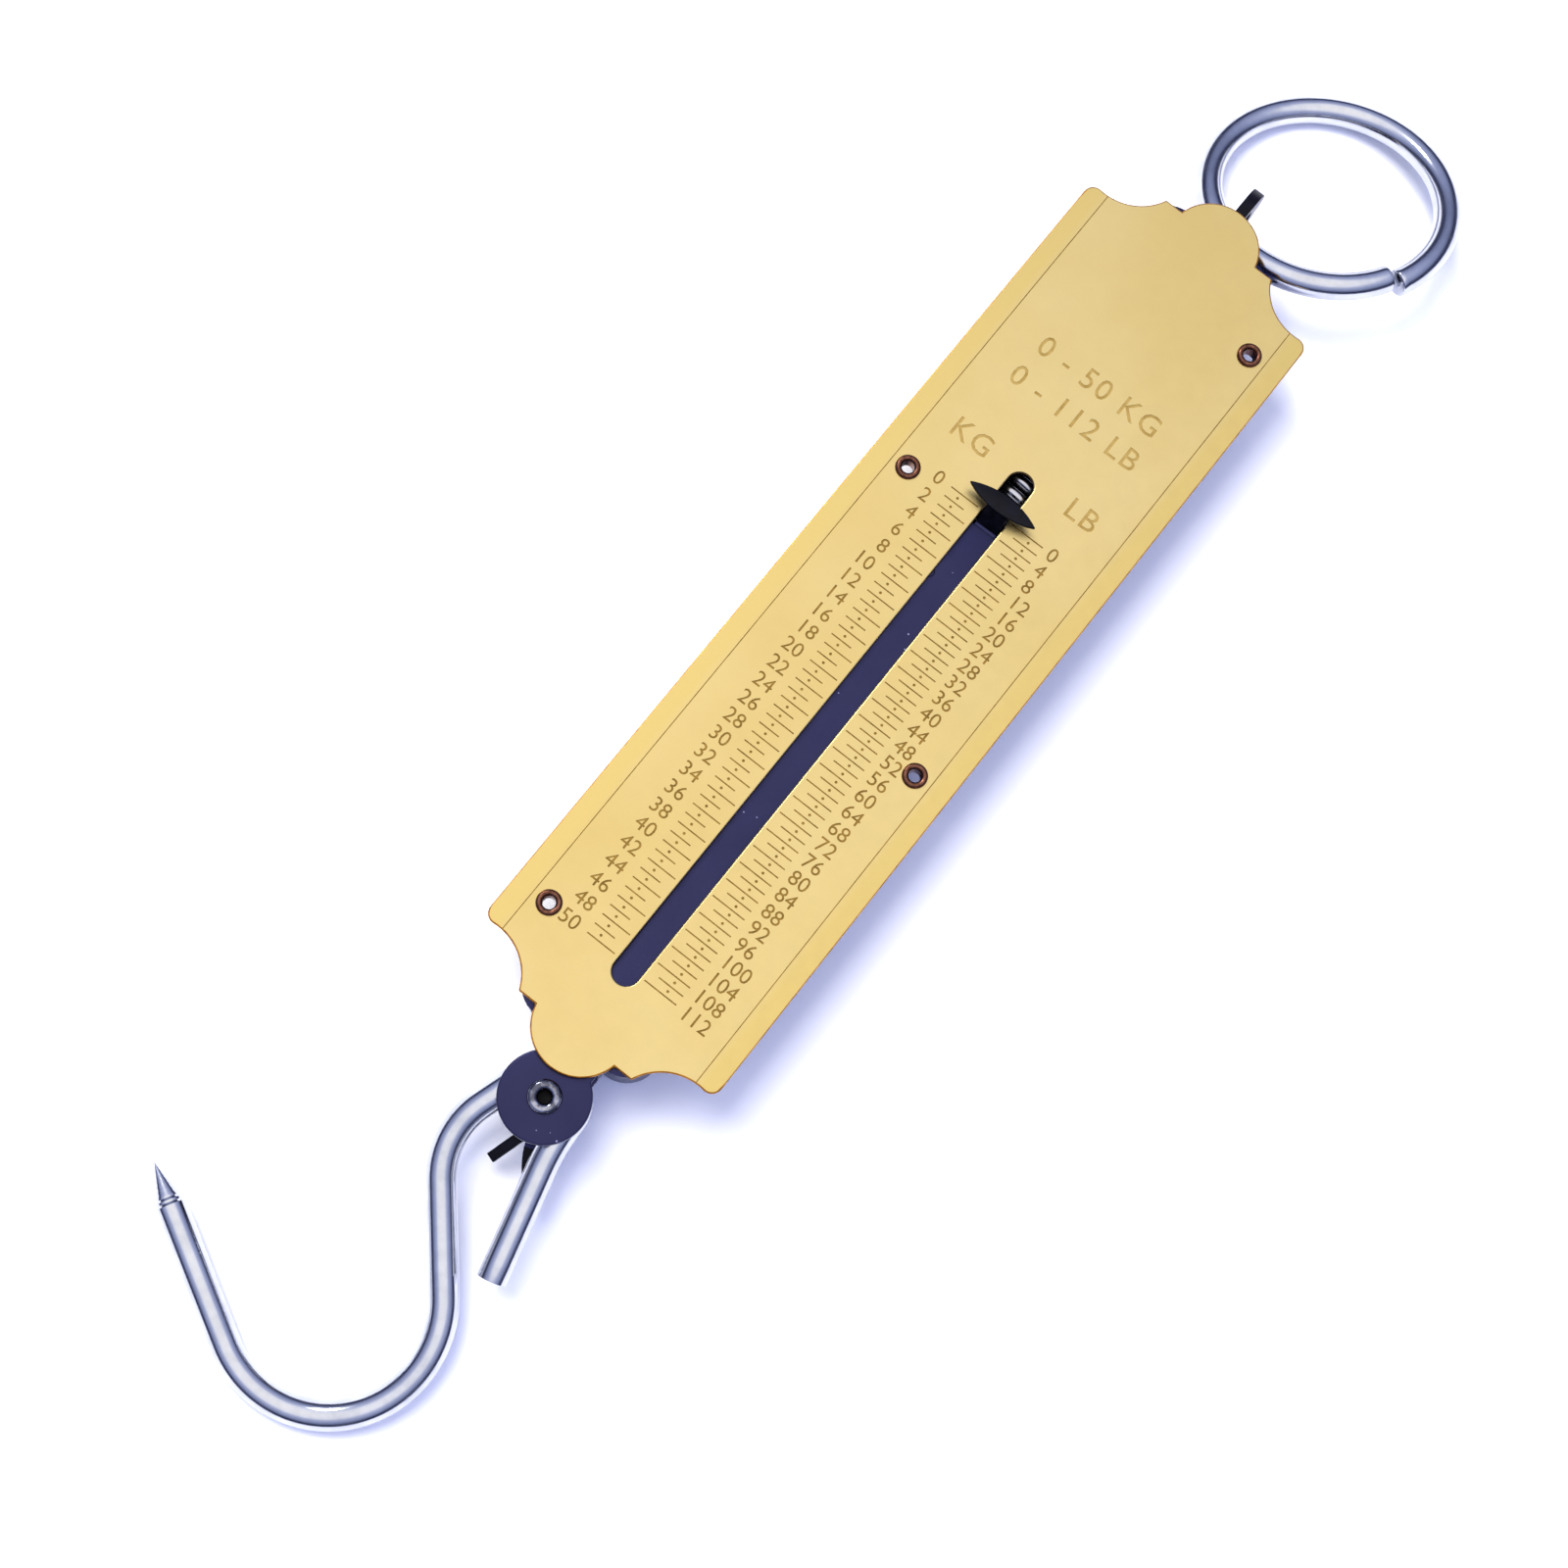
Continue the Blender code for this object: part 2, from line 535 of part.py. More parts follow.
def spring_lug(frame, material):
    """The bracket behind the bar that the spring's lower loop hooks into."""
    foot_top = BAR_BACK - SEAT_GAP
    foot_back = foot_top - LUG_FOOT_THICK
    top = -BEND_DROP - 2 * MM
    low, high = (-BAR_WIDTH / 2, top - LUG_FOOT_LENGTH, foot_back), (BAR_WIDTH / 2, top, foot_top)
    lug = add("spring_lug", mesh_from(block(low, high), "spring_lug"), material, frame)
    half = LUG_WIDTH / 2
    round_end = arc((-LUG_HOLE_DROP, SPRING_Z), half, 180, 360, 10)
    outline = round_end + [(-LUG_HOLE_DROP + half, foot_top - MM / 2), (-LUG_HOLE_DROP - half, foot_top - MM / 2)]
    web = prism(outline, -LUG_THICK / 2, LUG_THICK / 2)
    bmesh.ops.transform(web, matrix=UPRIGHT, verts=web.verts)
    boolean(lug, helper("lug_web", web, frame), "UNION")
    eye = rod((-LUG_HOLE_DROP, SPRING_Z), SPRING_HOLE, -LUG_THICK, LUG_THICK, 20)
    bmesh.ops.transform(eye, matrix=UPRIGHT, verts=eye.verts)
    boolean(lug, helper("lug_eye", eye, frame), "DIFFERENCE")
    return lug, foot_back


def bend_on(position, heading, radius, degrees, steps):
    """The points of a bend that starts at a position and heading, and the heading it leaves in."""
    side = math.copysign(1, degrees)
    centre = position + Vector((-math.sin(heading), math.cos(heading))) * side * radius
    points = []
    for i in range(1, steps + 1):
        turned_to = heading + math.radians(degrees) * i / steps
        points.append(centre - Vector((-math.sin(turned_to), math.cos(turned_to))) * side * radius)
    return points, heading + math.radians(degrees)


def hook_path():
    """The wire's middle line, flat, from the short leg's cut end to the point. The eye is about the origin."""
    start = Vector((EYE_RADIUS, 0))
    leg, heading = bend_on(start, math.radians(-90), *SHORT_LEG_BEND, 3)
    ahead = Vector((math.cos(heading), math.sin(heading)))
    leg += [leg[-1] + ahead * SHORT_LEG / 2, leg[-1] + ahead * SHORT_LEG]
    path = list(reversed(leg)) + [start]
    heading = math.radians(90)
    for straight, bend, steps in (
        (0, (EYE_RADIUS, EYE_WRAP), 14),
        (EYE_RUN_OUT, KNEE, 7),
        (SHANK, (BOWL[0], -BOWL[1]), 16),
    ):
        if straight:
            path.append(path[-1] + Vector((math.cos(heading), math.sin(heading))) * straight)
        points, heading = bend_on(path[-1], heading, *bend, steps)
        path += points
    ahead = Vector((math.cos(heading), math.sin(heading)))
    path += [path[-1] + ahead * POINT_LEG]
    path += [path[-1] + ahead * POINT_LENGTH]
    return path


def load_hook(frame, material):
    """The S-hook on its own axis through the eye, tilted until its bowl rests on the table."""
    path = hook_path()
    reach = -min(point.y for point in path)
    tilt = math.asin((HOOK_HEIGHT - HOOK_WIRE - TABLE_GAP) / reach)
    axis = empty("hook_axis", (0, -RIVET_DROP, HOOK_HEIGHT), (tilt, 0, -DRAW_SKEW), frame)
    points = [(x, y, 0) for x, y in path]
    taper = [1] * (len(points) - 1) + [POINT_TIP / HOOK_WIRE]
    return tube("load_hook", points, HOOK_WIRE, material, axis, taper)


def ring_place():
    """The ring's centre and its tip angle, with its wire in the tab's hole and its low side on the table."""
    grip = Vector((RING_RADIUS * math.cos(RING_GRIP), RING_RADIUS * math.sin(RING_GRIP), 0))
    held = Vector((0, RING_HOLE_Y - RING_GRIP_Y, RING_HOLE_Z - RING_GRIP_Z))

    def placed(tip):
        turn = Matrix.Rotation(RING_ROLL, 3, "Y") @ Matrix.Rotation(tip, 3, "X")
        lean = math.sqrt(1 - turn[2][2] ** 2)
        centre = held - turn @ grip
        return centre, centre.z - RING_RADIUS * lean - RING_WIRE - TABLE_GAP

    flat, steep = 0, math.radians(-80)
    for _ in range(40):
        tip = (flat + steep) / 2
        if placed(tip)[1] > 0:
            flat = tip
        else:
            steep = tip
    return placed(tip)[0], tip


def suspension_ring(material):
    """The split ring, through the tab and lying over on the table."""
    centre, tip = ring_place()
    seat = empty("ring_seat", centre, (tip, RING_ROLL, 0))
    points = []
    steps = 60
    for i in range(steps + 1):
        angle = RING_CUT_AT + RING_CUT + (2 * math.pi - 2 * RING_CUT) * i / steps
        ease = max(0, 1 - 6 * min(i, steps - i) / steps)
        side = 1 if i < steps / 2 else -1
        radius = RING_RADIUS + side * ease * ease * RING_CUT_OFFSET / 2
        points.append((radius * math.cos(angle), radius * math.sin(angle), 0))
    return tube("suspension_ring", points, RING_WIRE, material, seat)


def hanger_tab(material):
    """The flat tab on edge that carries the ring, the pin and the spring's upper loop."""
    half = TAB_WIDTH / 2
    tip = TAB_TIP_Y - half
    outline = [(TAB_FOOT_Y, TAB_MIDDLE - half)] + arc((tip, TAB_MIDDLE), half, -90, 90, 14)
    outline += [(TAB_FOOT_Y, TAB_MIDDLE + half)]
    body = prism(outline, -TAB_THICK / 2, TAB_THICK / 2)
    bmesh.ops.transform(body, matrix=UPRIGHT, verts=body.verts)
    tab = add("hanger_tab", mesh_from(body, "hanger_tab"), material)
    for name, y, z, radius in (
        ("ring_hole", RING_HOLE_Y, RING_HOLE_Z, RING_HOLE),
        ("pin_hole", PIN_Y, TAB_MIDDLE, PIN_RADIUS + RUN_GAP),
        ("spring_hole", SPRING_TOP_HOLE_Y, SPRING_Z, SPRING_HOLE),
    ):
        hole = rod((y, z), radius, -TAB_THICK, TAB_THICK)
        bmesh.ops.transform(hole, matrix=UPRIGHT, verts=hole.verts)
        boolean(tab, helper(name, hole), "DIFFERENCE")
    return tab


def hanger_pin(material):
    """The cross pin that holds the tab between the tray's side walls, with a head at each end."""
    wall = TRAY_WIDTH / 2 + EYELET_SEAT
    half = [(0, wall + PIN_HEAD_THICK), (PIN_HEAD - 0.5 * MM, wall + PIN_HEAD_THICK), (PIN_HEAD, wall + 0.4 * MM)]
    half += [(PIN_HEAD, wall), (PIN_RADIUS, wall)]
    profile = half + [(radius, -height) for radius, height in reversed(half)]
    body = turned(profile)
    bmesh.ops.transform(body, matrix=Matrix.Translation((0, PIN_Y, TAB_MIDDLE)) @ UPRIGHT, verts=body.verts)
    return add("hanger_pin", mesh_from(body, "hanger_pin"), material)


def spring_path():
    """The wire's middle line: a loop through the lug, the coils, and a loop through the tab."""
    low_y = POINTER_Y - LUG_HOLE_DROP + SPRING_RADIUS
    high_y = SPRING_TOP_HOLE_Y - SPRING_RADIUS
    start, end = low_y + LOOP_BEND, high_y - LOOP_BEND
    pitch = (end - start) / (SPRING_TURNS - LOOP_BEND / math.pi / SPRING_RADIUS)
    side = LOOP_BEND / SPRING_RADIUS  # the angle that the bend between coil and loop takes
    per_turn = 14

    def on_coil(angle, y):
        return (SPRING_RADIUS * math.cos(angle), y, SPRING_Z + SPRING_RADIUS * math.sin(angle))

    def loop(y, direction):
        turns = [math.radians(200) * i / 12 for i in range(13)]
        return [
            (SPRING_RADIUS * math.cos(a), y + direction * SPRING_RADIUS * math.sin(a), SPRING_Z) for a in turns
        ]

    def corner(direction):
        """The bend as (angle on the coil, distance along it), from the loop to the coil."""
        steps = [math.radians(90) * i / 4 for i in range(5)]
        return [(side * (1 - math.cos(a)), LOOP_BEND * math.sin(a) * direction) for a in steps]

    path = list(reversed(loop(low_y, -1)))
    path += [on_coil(angle, low_y + y) for angle, y in corner(1)][1:]
    span = 2 * math.pi * SPRING_TURNS - 2 * side
    count = int(per_turn * SPRING_TURNS)
    for i in range(1, count):
        turned_to = side + span * i / count
        path.append(on_coil(turned_to, start + pitch * (turned_to - side) / (2 * math.pi)))
    path += [on_coil(-angle, high_y + y) for angle, y in reversed(corner(-1))][:-1]
    return path + loop(high_y, 1)


def build():
    for old in list(bpy.data.objects):
        bpy.data.objects.remove(old, do_unlink=True)

    brass = paint("satin_brass", (0.78, 0.58, 0.2), 1, 0.35)
    black = paint("black_enamel", (0.02, 0.02, 0.035), 0, 0.35)
    steel = paint("bright_steel", (0.62, 0.63, 0.66), 1, 0.2)
    spring_steel = paint("spring_steel", (0.5, 0.5, 0.52), 1, 0.3)
    copper = paint("antique_copper", (0.3, 0.16, 0.09), 1, 0.4)

    plate = face_plate(brass)
    tray = back_housing(black)
    eyelets(plate, tray, copper)
    hanger_tab(black)
    hanger_pin(black)
    suspension_ring(steel)
    tube("main_spring", spring_path(), SPRING_WIRE, spring_steel, sides_level=2)

    frame = empty("draw_frame", (0, POINTER_Y, 0), (0, 0, DRAW_SKEW))
    bar = draw_bar(frame, black)
    ear = rear_ear(frame, black)
    clevis_pin(frame, black, steel)
    lug, lug_back = spring_lug(frame, black)
    strap_back = BAR_BACK - SEAT_GAP - BAR_THICK
    web_inner = -RIVET_DROP + WEB_OUT + BAR_THICK
    for number, out in enumerate(STRAP_RIVETS_OUT, start=1):
        small_rivet(f"strap_rivet_{number}", frame, (0, web_inner + out), strap_back, (bar, ear), black)
    lug_rivet_y = -BEND_DROP - 2 * MM - LUG_FOOT_LENGTH + LUG_RIVET_UP
    for number, side in enumerate((-1, 1), start=1):
        place = (side * LUG_RIVET_X, lug_rivet_y)
        small_rivet(f"lug_rivet_{number}", frame, place, lug_back, (bar, lug), black)
    load_hook(frame, steel)


build()
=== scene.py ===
# %% [markdown]
# # A hanging spring scale
# A pocket scale of this kind is a flat brass dial eyeletted to a black steel tray. A draw bar slides
# behind the dial, carries the pointer up through a slot, and ends below in a clevis for the load hook. A
# split ring holds the whole thing up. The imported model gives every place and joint; this script makes the
# fine surfaces round it. Each piece is modelled on its own, so that it comes apart here as it does on a
# bench.

# %% Load the frame
import math

import bpy
from mathutils import Matrix, Vector


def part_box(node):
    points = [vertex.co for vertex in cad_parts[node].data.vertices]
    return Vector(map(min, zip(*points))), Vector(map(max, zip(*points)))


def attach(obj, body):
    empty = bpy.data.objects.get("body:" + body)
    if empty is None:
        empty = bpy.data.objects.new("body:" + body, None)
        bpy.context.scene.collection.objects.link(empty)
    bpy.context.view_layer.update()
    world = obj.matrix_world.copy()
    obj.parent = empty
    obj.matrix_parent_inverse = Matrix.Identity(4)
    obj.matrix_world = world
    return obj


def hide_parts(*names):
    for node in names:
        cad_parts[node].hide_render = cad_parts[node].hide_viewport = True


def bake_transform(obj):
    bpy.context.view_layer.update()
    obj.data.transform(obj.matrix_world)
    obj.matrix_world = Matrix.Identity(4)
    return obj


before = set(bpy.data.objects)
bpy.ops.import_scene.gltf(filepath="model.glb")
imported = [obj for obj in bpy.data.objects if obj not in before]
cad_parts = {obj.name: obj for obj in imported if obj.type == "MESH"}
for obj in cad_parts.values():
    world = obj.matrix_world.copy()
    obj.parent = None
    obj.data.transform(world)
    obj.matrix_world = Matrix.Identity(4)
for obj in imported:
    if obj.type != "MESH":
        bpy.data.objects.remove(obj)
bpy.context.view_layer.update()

MM = 0.001

# %% [markdown]
# ## Selecting
# An operator acts on whatever is selected, and the imported nodes start out selected. So each step first
# clears the selection and names the one object that it works on. When a piece is done, its place goes
# into its mesh. A step could trust what the last one left selected, but then a change in one place breaks
# another.


# %% Select one object, settle one object
def only(piece):
    """Selects one object and makes it the active one."""
    bpy.ops.object.select_all(action="DESELECT")
    piece.select_set(True)
    bpy.context.view_layer.objects.active = piece
    return piece


def settle(piece):
    """Moves the object's place, turn and scale into its mesh."""
    only(piece)
    bpy.ops.object.transform_apply(location=True, rotation=True, scale=True)
    return piece


bpy.ops.object.select_all(action="DESELECT")

# %% [markdown]
# ## The camera
# The scale lies on a table and is seen from nearly straight above, from low on its right, and turned so
# that the ring points to the upper right. It comes before the looks, because every later choice is judged
# through it. A shorter lens from nearer would also take it all in, but it would splay the ends of the
# dial.

# %% Camera
CAMERA_PLACE = (0.0330, -0.1347, 0.4516)
CAMERA_TURN = (12.662, -4.646, 37.987)
CAMERA_LENS = 60.75

bpy.ops.object.camera_add(location=CAMERA_PLACE, rotation=[math.radians(a) for a in CAMERA_TURN])
camera = bpy.context.object
camera.name = "studio_camera"
camera.data.lens = CAMERA_LENS
camera.data.sensor_width = 36
camera.data.clip_start = 0.01
bpy.context.scene.camera = camera
print("camera:", CAMERA_LENS, "mm lens,", round(camera.location.z / MM), "mm above the table")

# %% [markdown]
# ## Light and table
# Bright round wire only looks like metal when it has something bright and something dark to mirror. So
# the sky is a pale ceiling, bright within forty degrees of the zenith, that falls off to a dark navy
# wall, as in a studio. A strong key lamp stands high on the left. It burns the open table out to white
# and keeps shadows short. A blue fill from the right colours those shadows lavender. Neither is seen in
# reflections, which keeps the brass even. A small bare lamp is, and puts the glints on rivets and edges.
# A picture of a real studio could light it too, but a ramp of plain colours keeps the script whole.

# %% World, lamps and floor
SKY = (
    (0.0, (0.20, 0.22, 0.34)),
    (0.16, (0.03, 0.035, 0.08)),
    (0.30, (0.05, 0.06, 0.14)),
    (0.44, (0.26, 0.30, 0.50)),
    (0.62, (0.42, 0.47, 0.74)),
    (0.78, (0.64, 0.69, 0.95)),
    (0.88, (1.18, 1.18, 1.28)),
    (1.0, (1.32, 1.29, 1.28)),
)
LAMPS = {
    "key": ((-0.42, 0.06, 1.35), 0.6, 17, (1.0, 0.97, 0.92), False),
    "fill": ((0.60, -0.25, 1.10), 1.2, 6, (0.24, 0.34, 1.0), False),
    "glint": ((-0.85, 0.35, 0.95), 0.22, 5, (1.0, 1.0, 1.0), True),
}
FLOOR_SIZE = 8

world = bpy.data.worlds.new("studio_sky")
world.use_nodes = True
bpy.context.scene.world = world
sky = world.node_tree
direction = sky.nodes.new("ShaderNodeTexCoord")
split = sky.nodes.new("ShaderNodeSeparateXYZ")
ramp = sky.nodes.new("ShaderNodeValToRGB")
ramp.color_ramp.elements.remove(ramp.color_ramp.elements[1])
for place, colour in SKY:
    stop = ramp.color_ramp.elements[0] if place == 0 else ramp.color_ramp.elements.new(place)
    stop.color = (*colour, 1)
sky.links.new(direction.outputs["Generated"], split.inputs["Vector"])
sky.links.new(split.outputs["Z"], ramp.inputs["Fac"])
sky.links.new(ramp.outputs["Color"], sky.nodes["Background"].inputs["Color"])

for name, (place, size, power, colour, mirrored) in LAMPS.items():
    bpy.ops.object.light_add(type="AREA", location=place)
    lamp = bpy.context.object
    lamp.name = f"studio_{name}"
    lamp.data.size = size
    lamp.data.energy = power
    lamp.data.color = colour
    lamp.visible_glossy = mirrored
    lamp.rotation_euler = Vector(place).to_track_quat("Z", "Y").to_euler()

bpy.ops.mesh.primitive_plane_add(size=FLOOR_SIZE)
floor = bpy.context.object
floor.name = "studio_floor"

bpy.context.scene.view_settings.view_transform = "Standard"
print("lamps:", ", ".join(LAMPS))

# %% [markdown]
# ## Finishes
# A finish is a small tree of shader nodes. One function turns a hex colour as seen on a screen into the
# linear one that a shader wants, and one adds a node, sets it up and wires its inputs. Every pattern is
# measured on Object coordinates, which are metres here, so a scale of 1 / (size in metres) gives a
# pattern of that size. The patterns could be groups of nodes, but plain functions can be read from top to
# bottom.


# %% Colour and node helpers
def linear(colour_hex):
    """An sRGB hex colour as linear RGBA."""
    shares = [int(colour_hex[i : i + 2], 16) / 255 for i in (1, 3, 5)]
    return (*[s / 12.92 if s <= 0.04045 else ((s + 0.055) / 1.055) ** 2.4 for s in shares], 1)


def add_node(tree, kind, output, inputs, **settings):
    """Adds a node, sets it up, fills or links its inputs, and gives back one of its outputs."""
    made = tree.nodes.new("ShaderNode" + kind)
    for name, value in settings.items():
        setattr(made, name, value)
    for name, value in inputs.items():
        if isinstance(value, bpy.types.NodeSocket):
            tree.links.new(value, made.inputs[name])
        else:
            made.inputs[name].default_value = value
    return made.outputs[output]


# %% Start a finish
def finish(name, metallic, roughness):
    """A new material, its tree, its shader and the point that a pattern is measured from."""
    print("finish:", name)
    material = bpy.data.materials.new(name)
    material.use_nodes = True
    tree = material.node_tree
    shader = tree.nodes["Principled BSDF"]
    shader.inputs["Metallic"].default_value = metallic
    shader.inputs["Roughness"].default_value = roughness
    return material, tree, shader, add_node(tree, "TexCoord", "Object", {})


# %% Two tones and a fine bump
def patches(tree, point, size, detail, low, high, rough=0.5):
    """Noise in blotches about one size across, in metres, as a share: 0 at low, 1 at high."""
    noise = {"Vector": point, "Scale": 1 / size, "Detail": detail, "Roughness": rough}
    reach = {"Value": add_node(tree, "TexNoise", "Fac", noise), "From Min": low, "From Max": high}
    return add_node(tree, "MapRange", "Result", reach)


def two_tones(tree, shader, share, first, second, roughness=None):
    """Colours the shader from one tone to another by a share, and roughens it too if given a pair."""
    tones = {0: share, 6: linear(first), 7: linear(second)}
    tree.links.new(add_node(tree, "Mix", 2, tones, data_type="RGBA"), shader.inputs["Base Color"])
    if roughness:
        reach = {"Value": share, "To Min": roughness[0], "To Max": roughness[1]}
        tree.links.new(add_node(tree, "MapRange", "Result", reach), shader.inputs["Roughness"])


def fine_bump(tree, shader, point, size, depth, strength):
    """Raises a fine noise on the surface, depth metres from hollow to crest."""
    noise = add_node(tree, "TexNoise", "Fac", {"Vector": point, "Scale": 1 / size})
    height = {"Height": noise, "Distance": depth, "Strength": strength}
    tree.links.new(add_node(tree, "Bump", "Normal", height), shader.inputs["Normal"])


# %% [markdown]
# ### Lacquered brass
# The dial is rolled brass sheet, satin finished and lacquered. That gives a broad, even sheen, a very
# fine grain and faint paler and yellower clouds where the lacquer is thicker. The margins outside the
# creases have a warmer tone, a painted sheen for the light that the leaning margins catch. Brass is a
# metal, so its colour is the colour of its reflection and the IOR stays as it is. A pattern stretched
# over each piece would change with its size, and one in millimetres does not.

# %% Brass
CLOUD = 34 * MM
SHEEN_MARGIN_FROM = 20.4 * MM  # from the dial's middle to the creases
GRAIN = 0.22 * MM
RUBBED = 2.6 * MM


def brass_finish():
    material, tree, shader, point = finish("lacquered_satin_brass", 1.0, 0.36)
    clouds = patches(tree, point, CLOUD, 3, 0.3, 0.7)
    tones = {0: clouds, 6: linear("#DCC27C"), 7: linear("#E2CB8C")}
    cloudy = add_node(tree, "Mix", 2, tones, data_type="RGBA")
    # Outside the creases the tone turns slightly warmer and yellower: painted sheen for the light that the
    # leaning margins catch.
    x = add_node(tree, "SeparateXYZ", "X", {"Vector": point})
    across = add_node(tree, "Math", "Value", {0: x}, operation="ABSOLUTE")
    edge = {"Value": across, "From Min": SHEEN_MARGIN_FROM - 0.6 * MM, "From Max": SHEEN_MARGIN_FROM + 1.2 * MM}
    margin = add_node(tree, "MapRange", "Result", edge)
    tones = {0: margin, 6: cloudy, 7: linear("#DFC57A")}
    margin_sheen = add_node(tree, "Mix", 2, tones, data_type="RGBA")
    fine = add_node(tree, "TexNoise", "Fac", {"Vector": point, "Scale": 1 / GRAIN, "Detail": 1})
    faintly = {"Value": fine, "From Min": 0.25, "From Max": 0.75, "To Max": 0.10}
    tones = {0: add_node(tree, "MapRange", "Result", faintly), 6: margin_sheen, 7: linear("#C9A94F")}
    tree.links.new(add_node(tree, "Mix", 2, tones, data_type="RGBA"), shader.inputs["Base Color"])
    share = patches(tree, point, RUBBED, 4, 0.3, 0.75, 0.65)
    rubbed = add_node(tree, "MapRange", "Result", {"Value": share, "To Min": 0.33, "To Max": 0.42})
    tree.links.new(rubbed, shader.inputs["Roughness"])
    height = {"Height": fine, "Distance": 0.004 * MM, "Strength": 0.6}
    tree.links.new(add_node(tree, "Bump", "Normal", height), shader.inputs["Normal"])
    return material


# %% Shaded brass, painted shade in marks and on edges
def browned_finish(name, light, dark, roughness):
    """The brass darker and browner, as painted shade in the stamped marks and along the cut edges."""
    material, tree, shader, point = finish(name, 1.0, roughness)
    two_tones(tree, shader, patches(tree, point, 1.5 * MM, 3, 0.35, 0.7), light, dark)
    fine_bump(tree, shader, point, 0.15 * MM, 0.01 * MM, 0.5)
    return material


brass = brass_finish()
# Darker brass for the stamped marks and creases and for the dial's cut edges: painted shade in the recesses
# and along the rim.
stamped = browned_finish("stamped_brass_painted_shade", "#A98640", "#86672E", 0.5)
faint = browned_finish("lightly_stamped_brass", "#CBAC64", "#B4944F", 0.42)
edge_shade_brass = browned_finish("cut_edge_painted_shade", "#C98A2C", "#99601C", 0.35)

# %% [markdown]
# ### Black enamel
# The tray, draw bar and tab are pressed steel with a stoved black enamel. It is a satin, slightly rippled
# coat that is black itself but mirrors the sky as deep navy. It has a few pale dust specks and dulls
# where hands rub it. Enamel isn't a metal, so the navy is a tint on its surface reflection and its edges
# and shaded parts stay black. A navy base colour would be simpler, but it would glow in the shade.

# %% Enamel
RIPPLE = 0.9 * MM
SPECK = 1.1 * MM  # apart
SPECK_SHARE = 0.16  # of that distance, a speck's radius


def enamel_finish():
    material, tree, shader, point = finish("stoved_black_enamel", 0.0, 0.34)
    shader.inputs["Specular IOR Level"].default_value = 1.0
    shader.inputs["Specular Tint"].default_value = linear("#A9A9FF")
    tones = {0: patches(tree, point, 12 * MM, 3, 0.3, 0.7), 6: linear("#06060F"), 7: linear("#0B0B19")}
    black = add_node(tree, "Mix", 2, tones, data_type="RGBA")
    seeds = {"Vector": point, "Scale": 1 / SPECK}
    spot = add_node(tree, "TexVoronoi", "Distance", seeds, feature="F1")
    dusty = patches(tree, point, 3.5 * MM, 0, 0.62, 0.68)
    size = add_node(tree, "Math", "Value", {0: dusty, 1: SPECK_SHARE}, operation="MULTIPLY")
    here = add_node(tree, "Math", "Value", {0: spot, 1: size}, operation="LESS_THAN")
    tones = {0: here, 6: black, 7: linear("#7C7C92")}
    tree.links.new(add_node(tree, "Mix", 2, tones, data_type="RGBA"), shader.inputs["Base Color"])
    share = patches(tree, point, 4 * MM, 4, 0.3, 0.7, 0.6)
    worn = add_node(tree, "MapRange", "Result", {"Value": share, "To Min": 0.28, "To Max": 0.42})
    tree.links.new(worn, shader.inputs["Roughness"])
    fine_bump(tree, shader, point, RIPPLE, 0.012 * MM, 0.5)
    return material


# %% Dull black, partly painted shade
def blackened_finish():
    """A dull black, darker than the enamel: on the pointer, on the tab's edges, and as painted shade on the
    steep neck, the prongs and in the rivet's bore.
    """
    material, tree, shader, point = finish("dull_black_steel", 0.0, 0.3)
    shader.inputs["Specular IOR Level"].default_value = 0.14
    share = patches(tree, point, 2 * MM, 3, 0.35, 0.7)
    two_tones(tree, shader, share, "#040408", "#0A0A14", (0.25, 0.4))
    fine_bump(tree, shader, point, 0.4 * MM, 0.01 * MM, 0.5)
    return material


enamel = enamel_finish()
dull_black = blackened_finish()

# %% [markdown]
# ### Bright steel wire
# The hook and the ring are drawn steel wire with a bright plating. Drawing leaves hair-fine lines along
# the wire, and handling leaves a slightly cloudy gloss. The lines follow the wire, so they read an
# attribute that each wire piece stores: how far along it and how far round it each point lies. A
# stretched noise on plain coordinates would run straight across every bend.

# %% Steel
WIRE_MAP = "along_wire"
LINE_STRETCH = (0.06, 5.0, 5.0)  # long along the wire, 0.2 mm apart round it
HANDLED = 5 * MM


def steel_finish(name, light, dark, rough_low, rough_high):
    """Bright wire. The map holds millimetres along the wire and round it, so lines follow every bend."""
    material, tree, shader, point = finish(name, 1.0, 0.2)
    place = add_node(tree, "Attribute", "Vector", {}, attribute_name=WIRE_MAP)
    drawn_out = add_node(tree, "Mapping", "Vector", {"Vector": place, "Scale": LINE_STRETCH})
    noise = {"Vector": drawn_out, "Scale": 1, "Detail": 3, "Roughness": 0.6}
    lines = add_node(tree, "TexNoise", "Fac", noise)
    handled = add_node(
        tree, "TexNoise", "Fac", {"Vector": point, "Scale": 1 / HANDLED, "Detail": 4, "Roughness": 0.6}
    )
    share = add_node(tree, "MapRange", "Result", {"Value": handled, "From Min": 0.3, "From Max": 0.75})
    two_tones(tree, shader, share, light, dark)
    cloudy = {"Value": handled, "From Min": 0.3, "From Max": 0.7, "To Min": rough_low, "To Max": rough_high}
    tree.links.new(add_node(tree, "MapRange", "Result", cloudy), shader.inputs["Roughness"])
    height = {"Height": lines, "Distance": 0.006 * MM, "Strength": 0.35}
    tree.links.new(add_node(tree, "Bump", "Normal", height), shader.inputs["Normal"])
    return material


bright_steel = steel_finish("bright_plated_steel_wire", "#D3D5DB", "#BDC0C9", 0.10, 0.2)
spring_steel = steel_finish("oiled_spring_steel_wire", "#D2D3D8", "#B4B5BC", 0.14, 0.24)


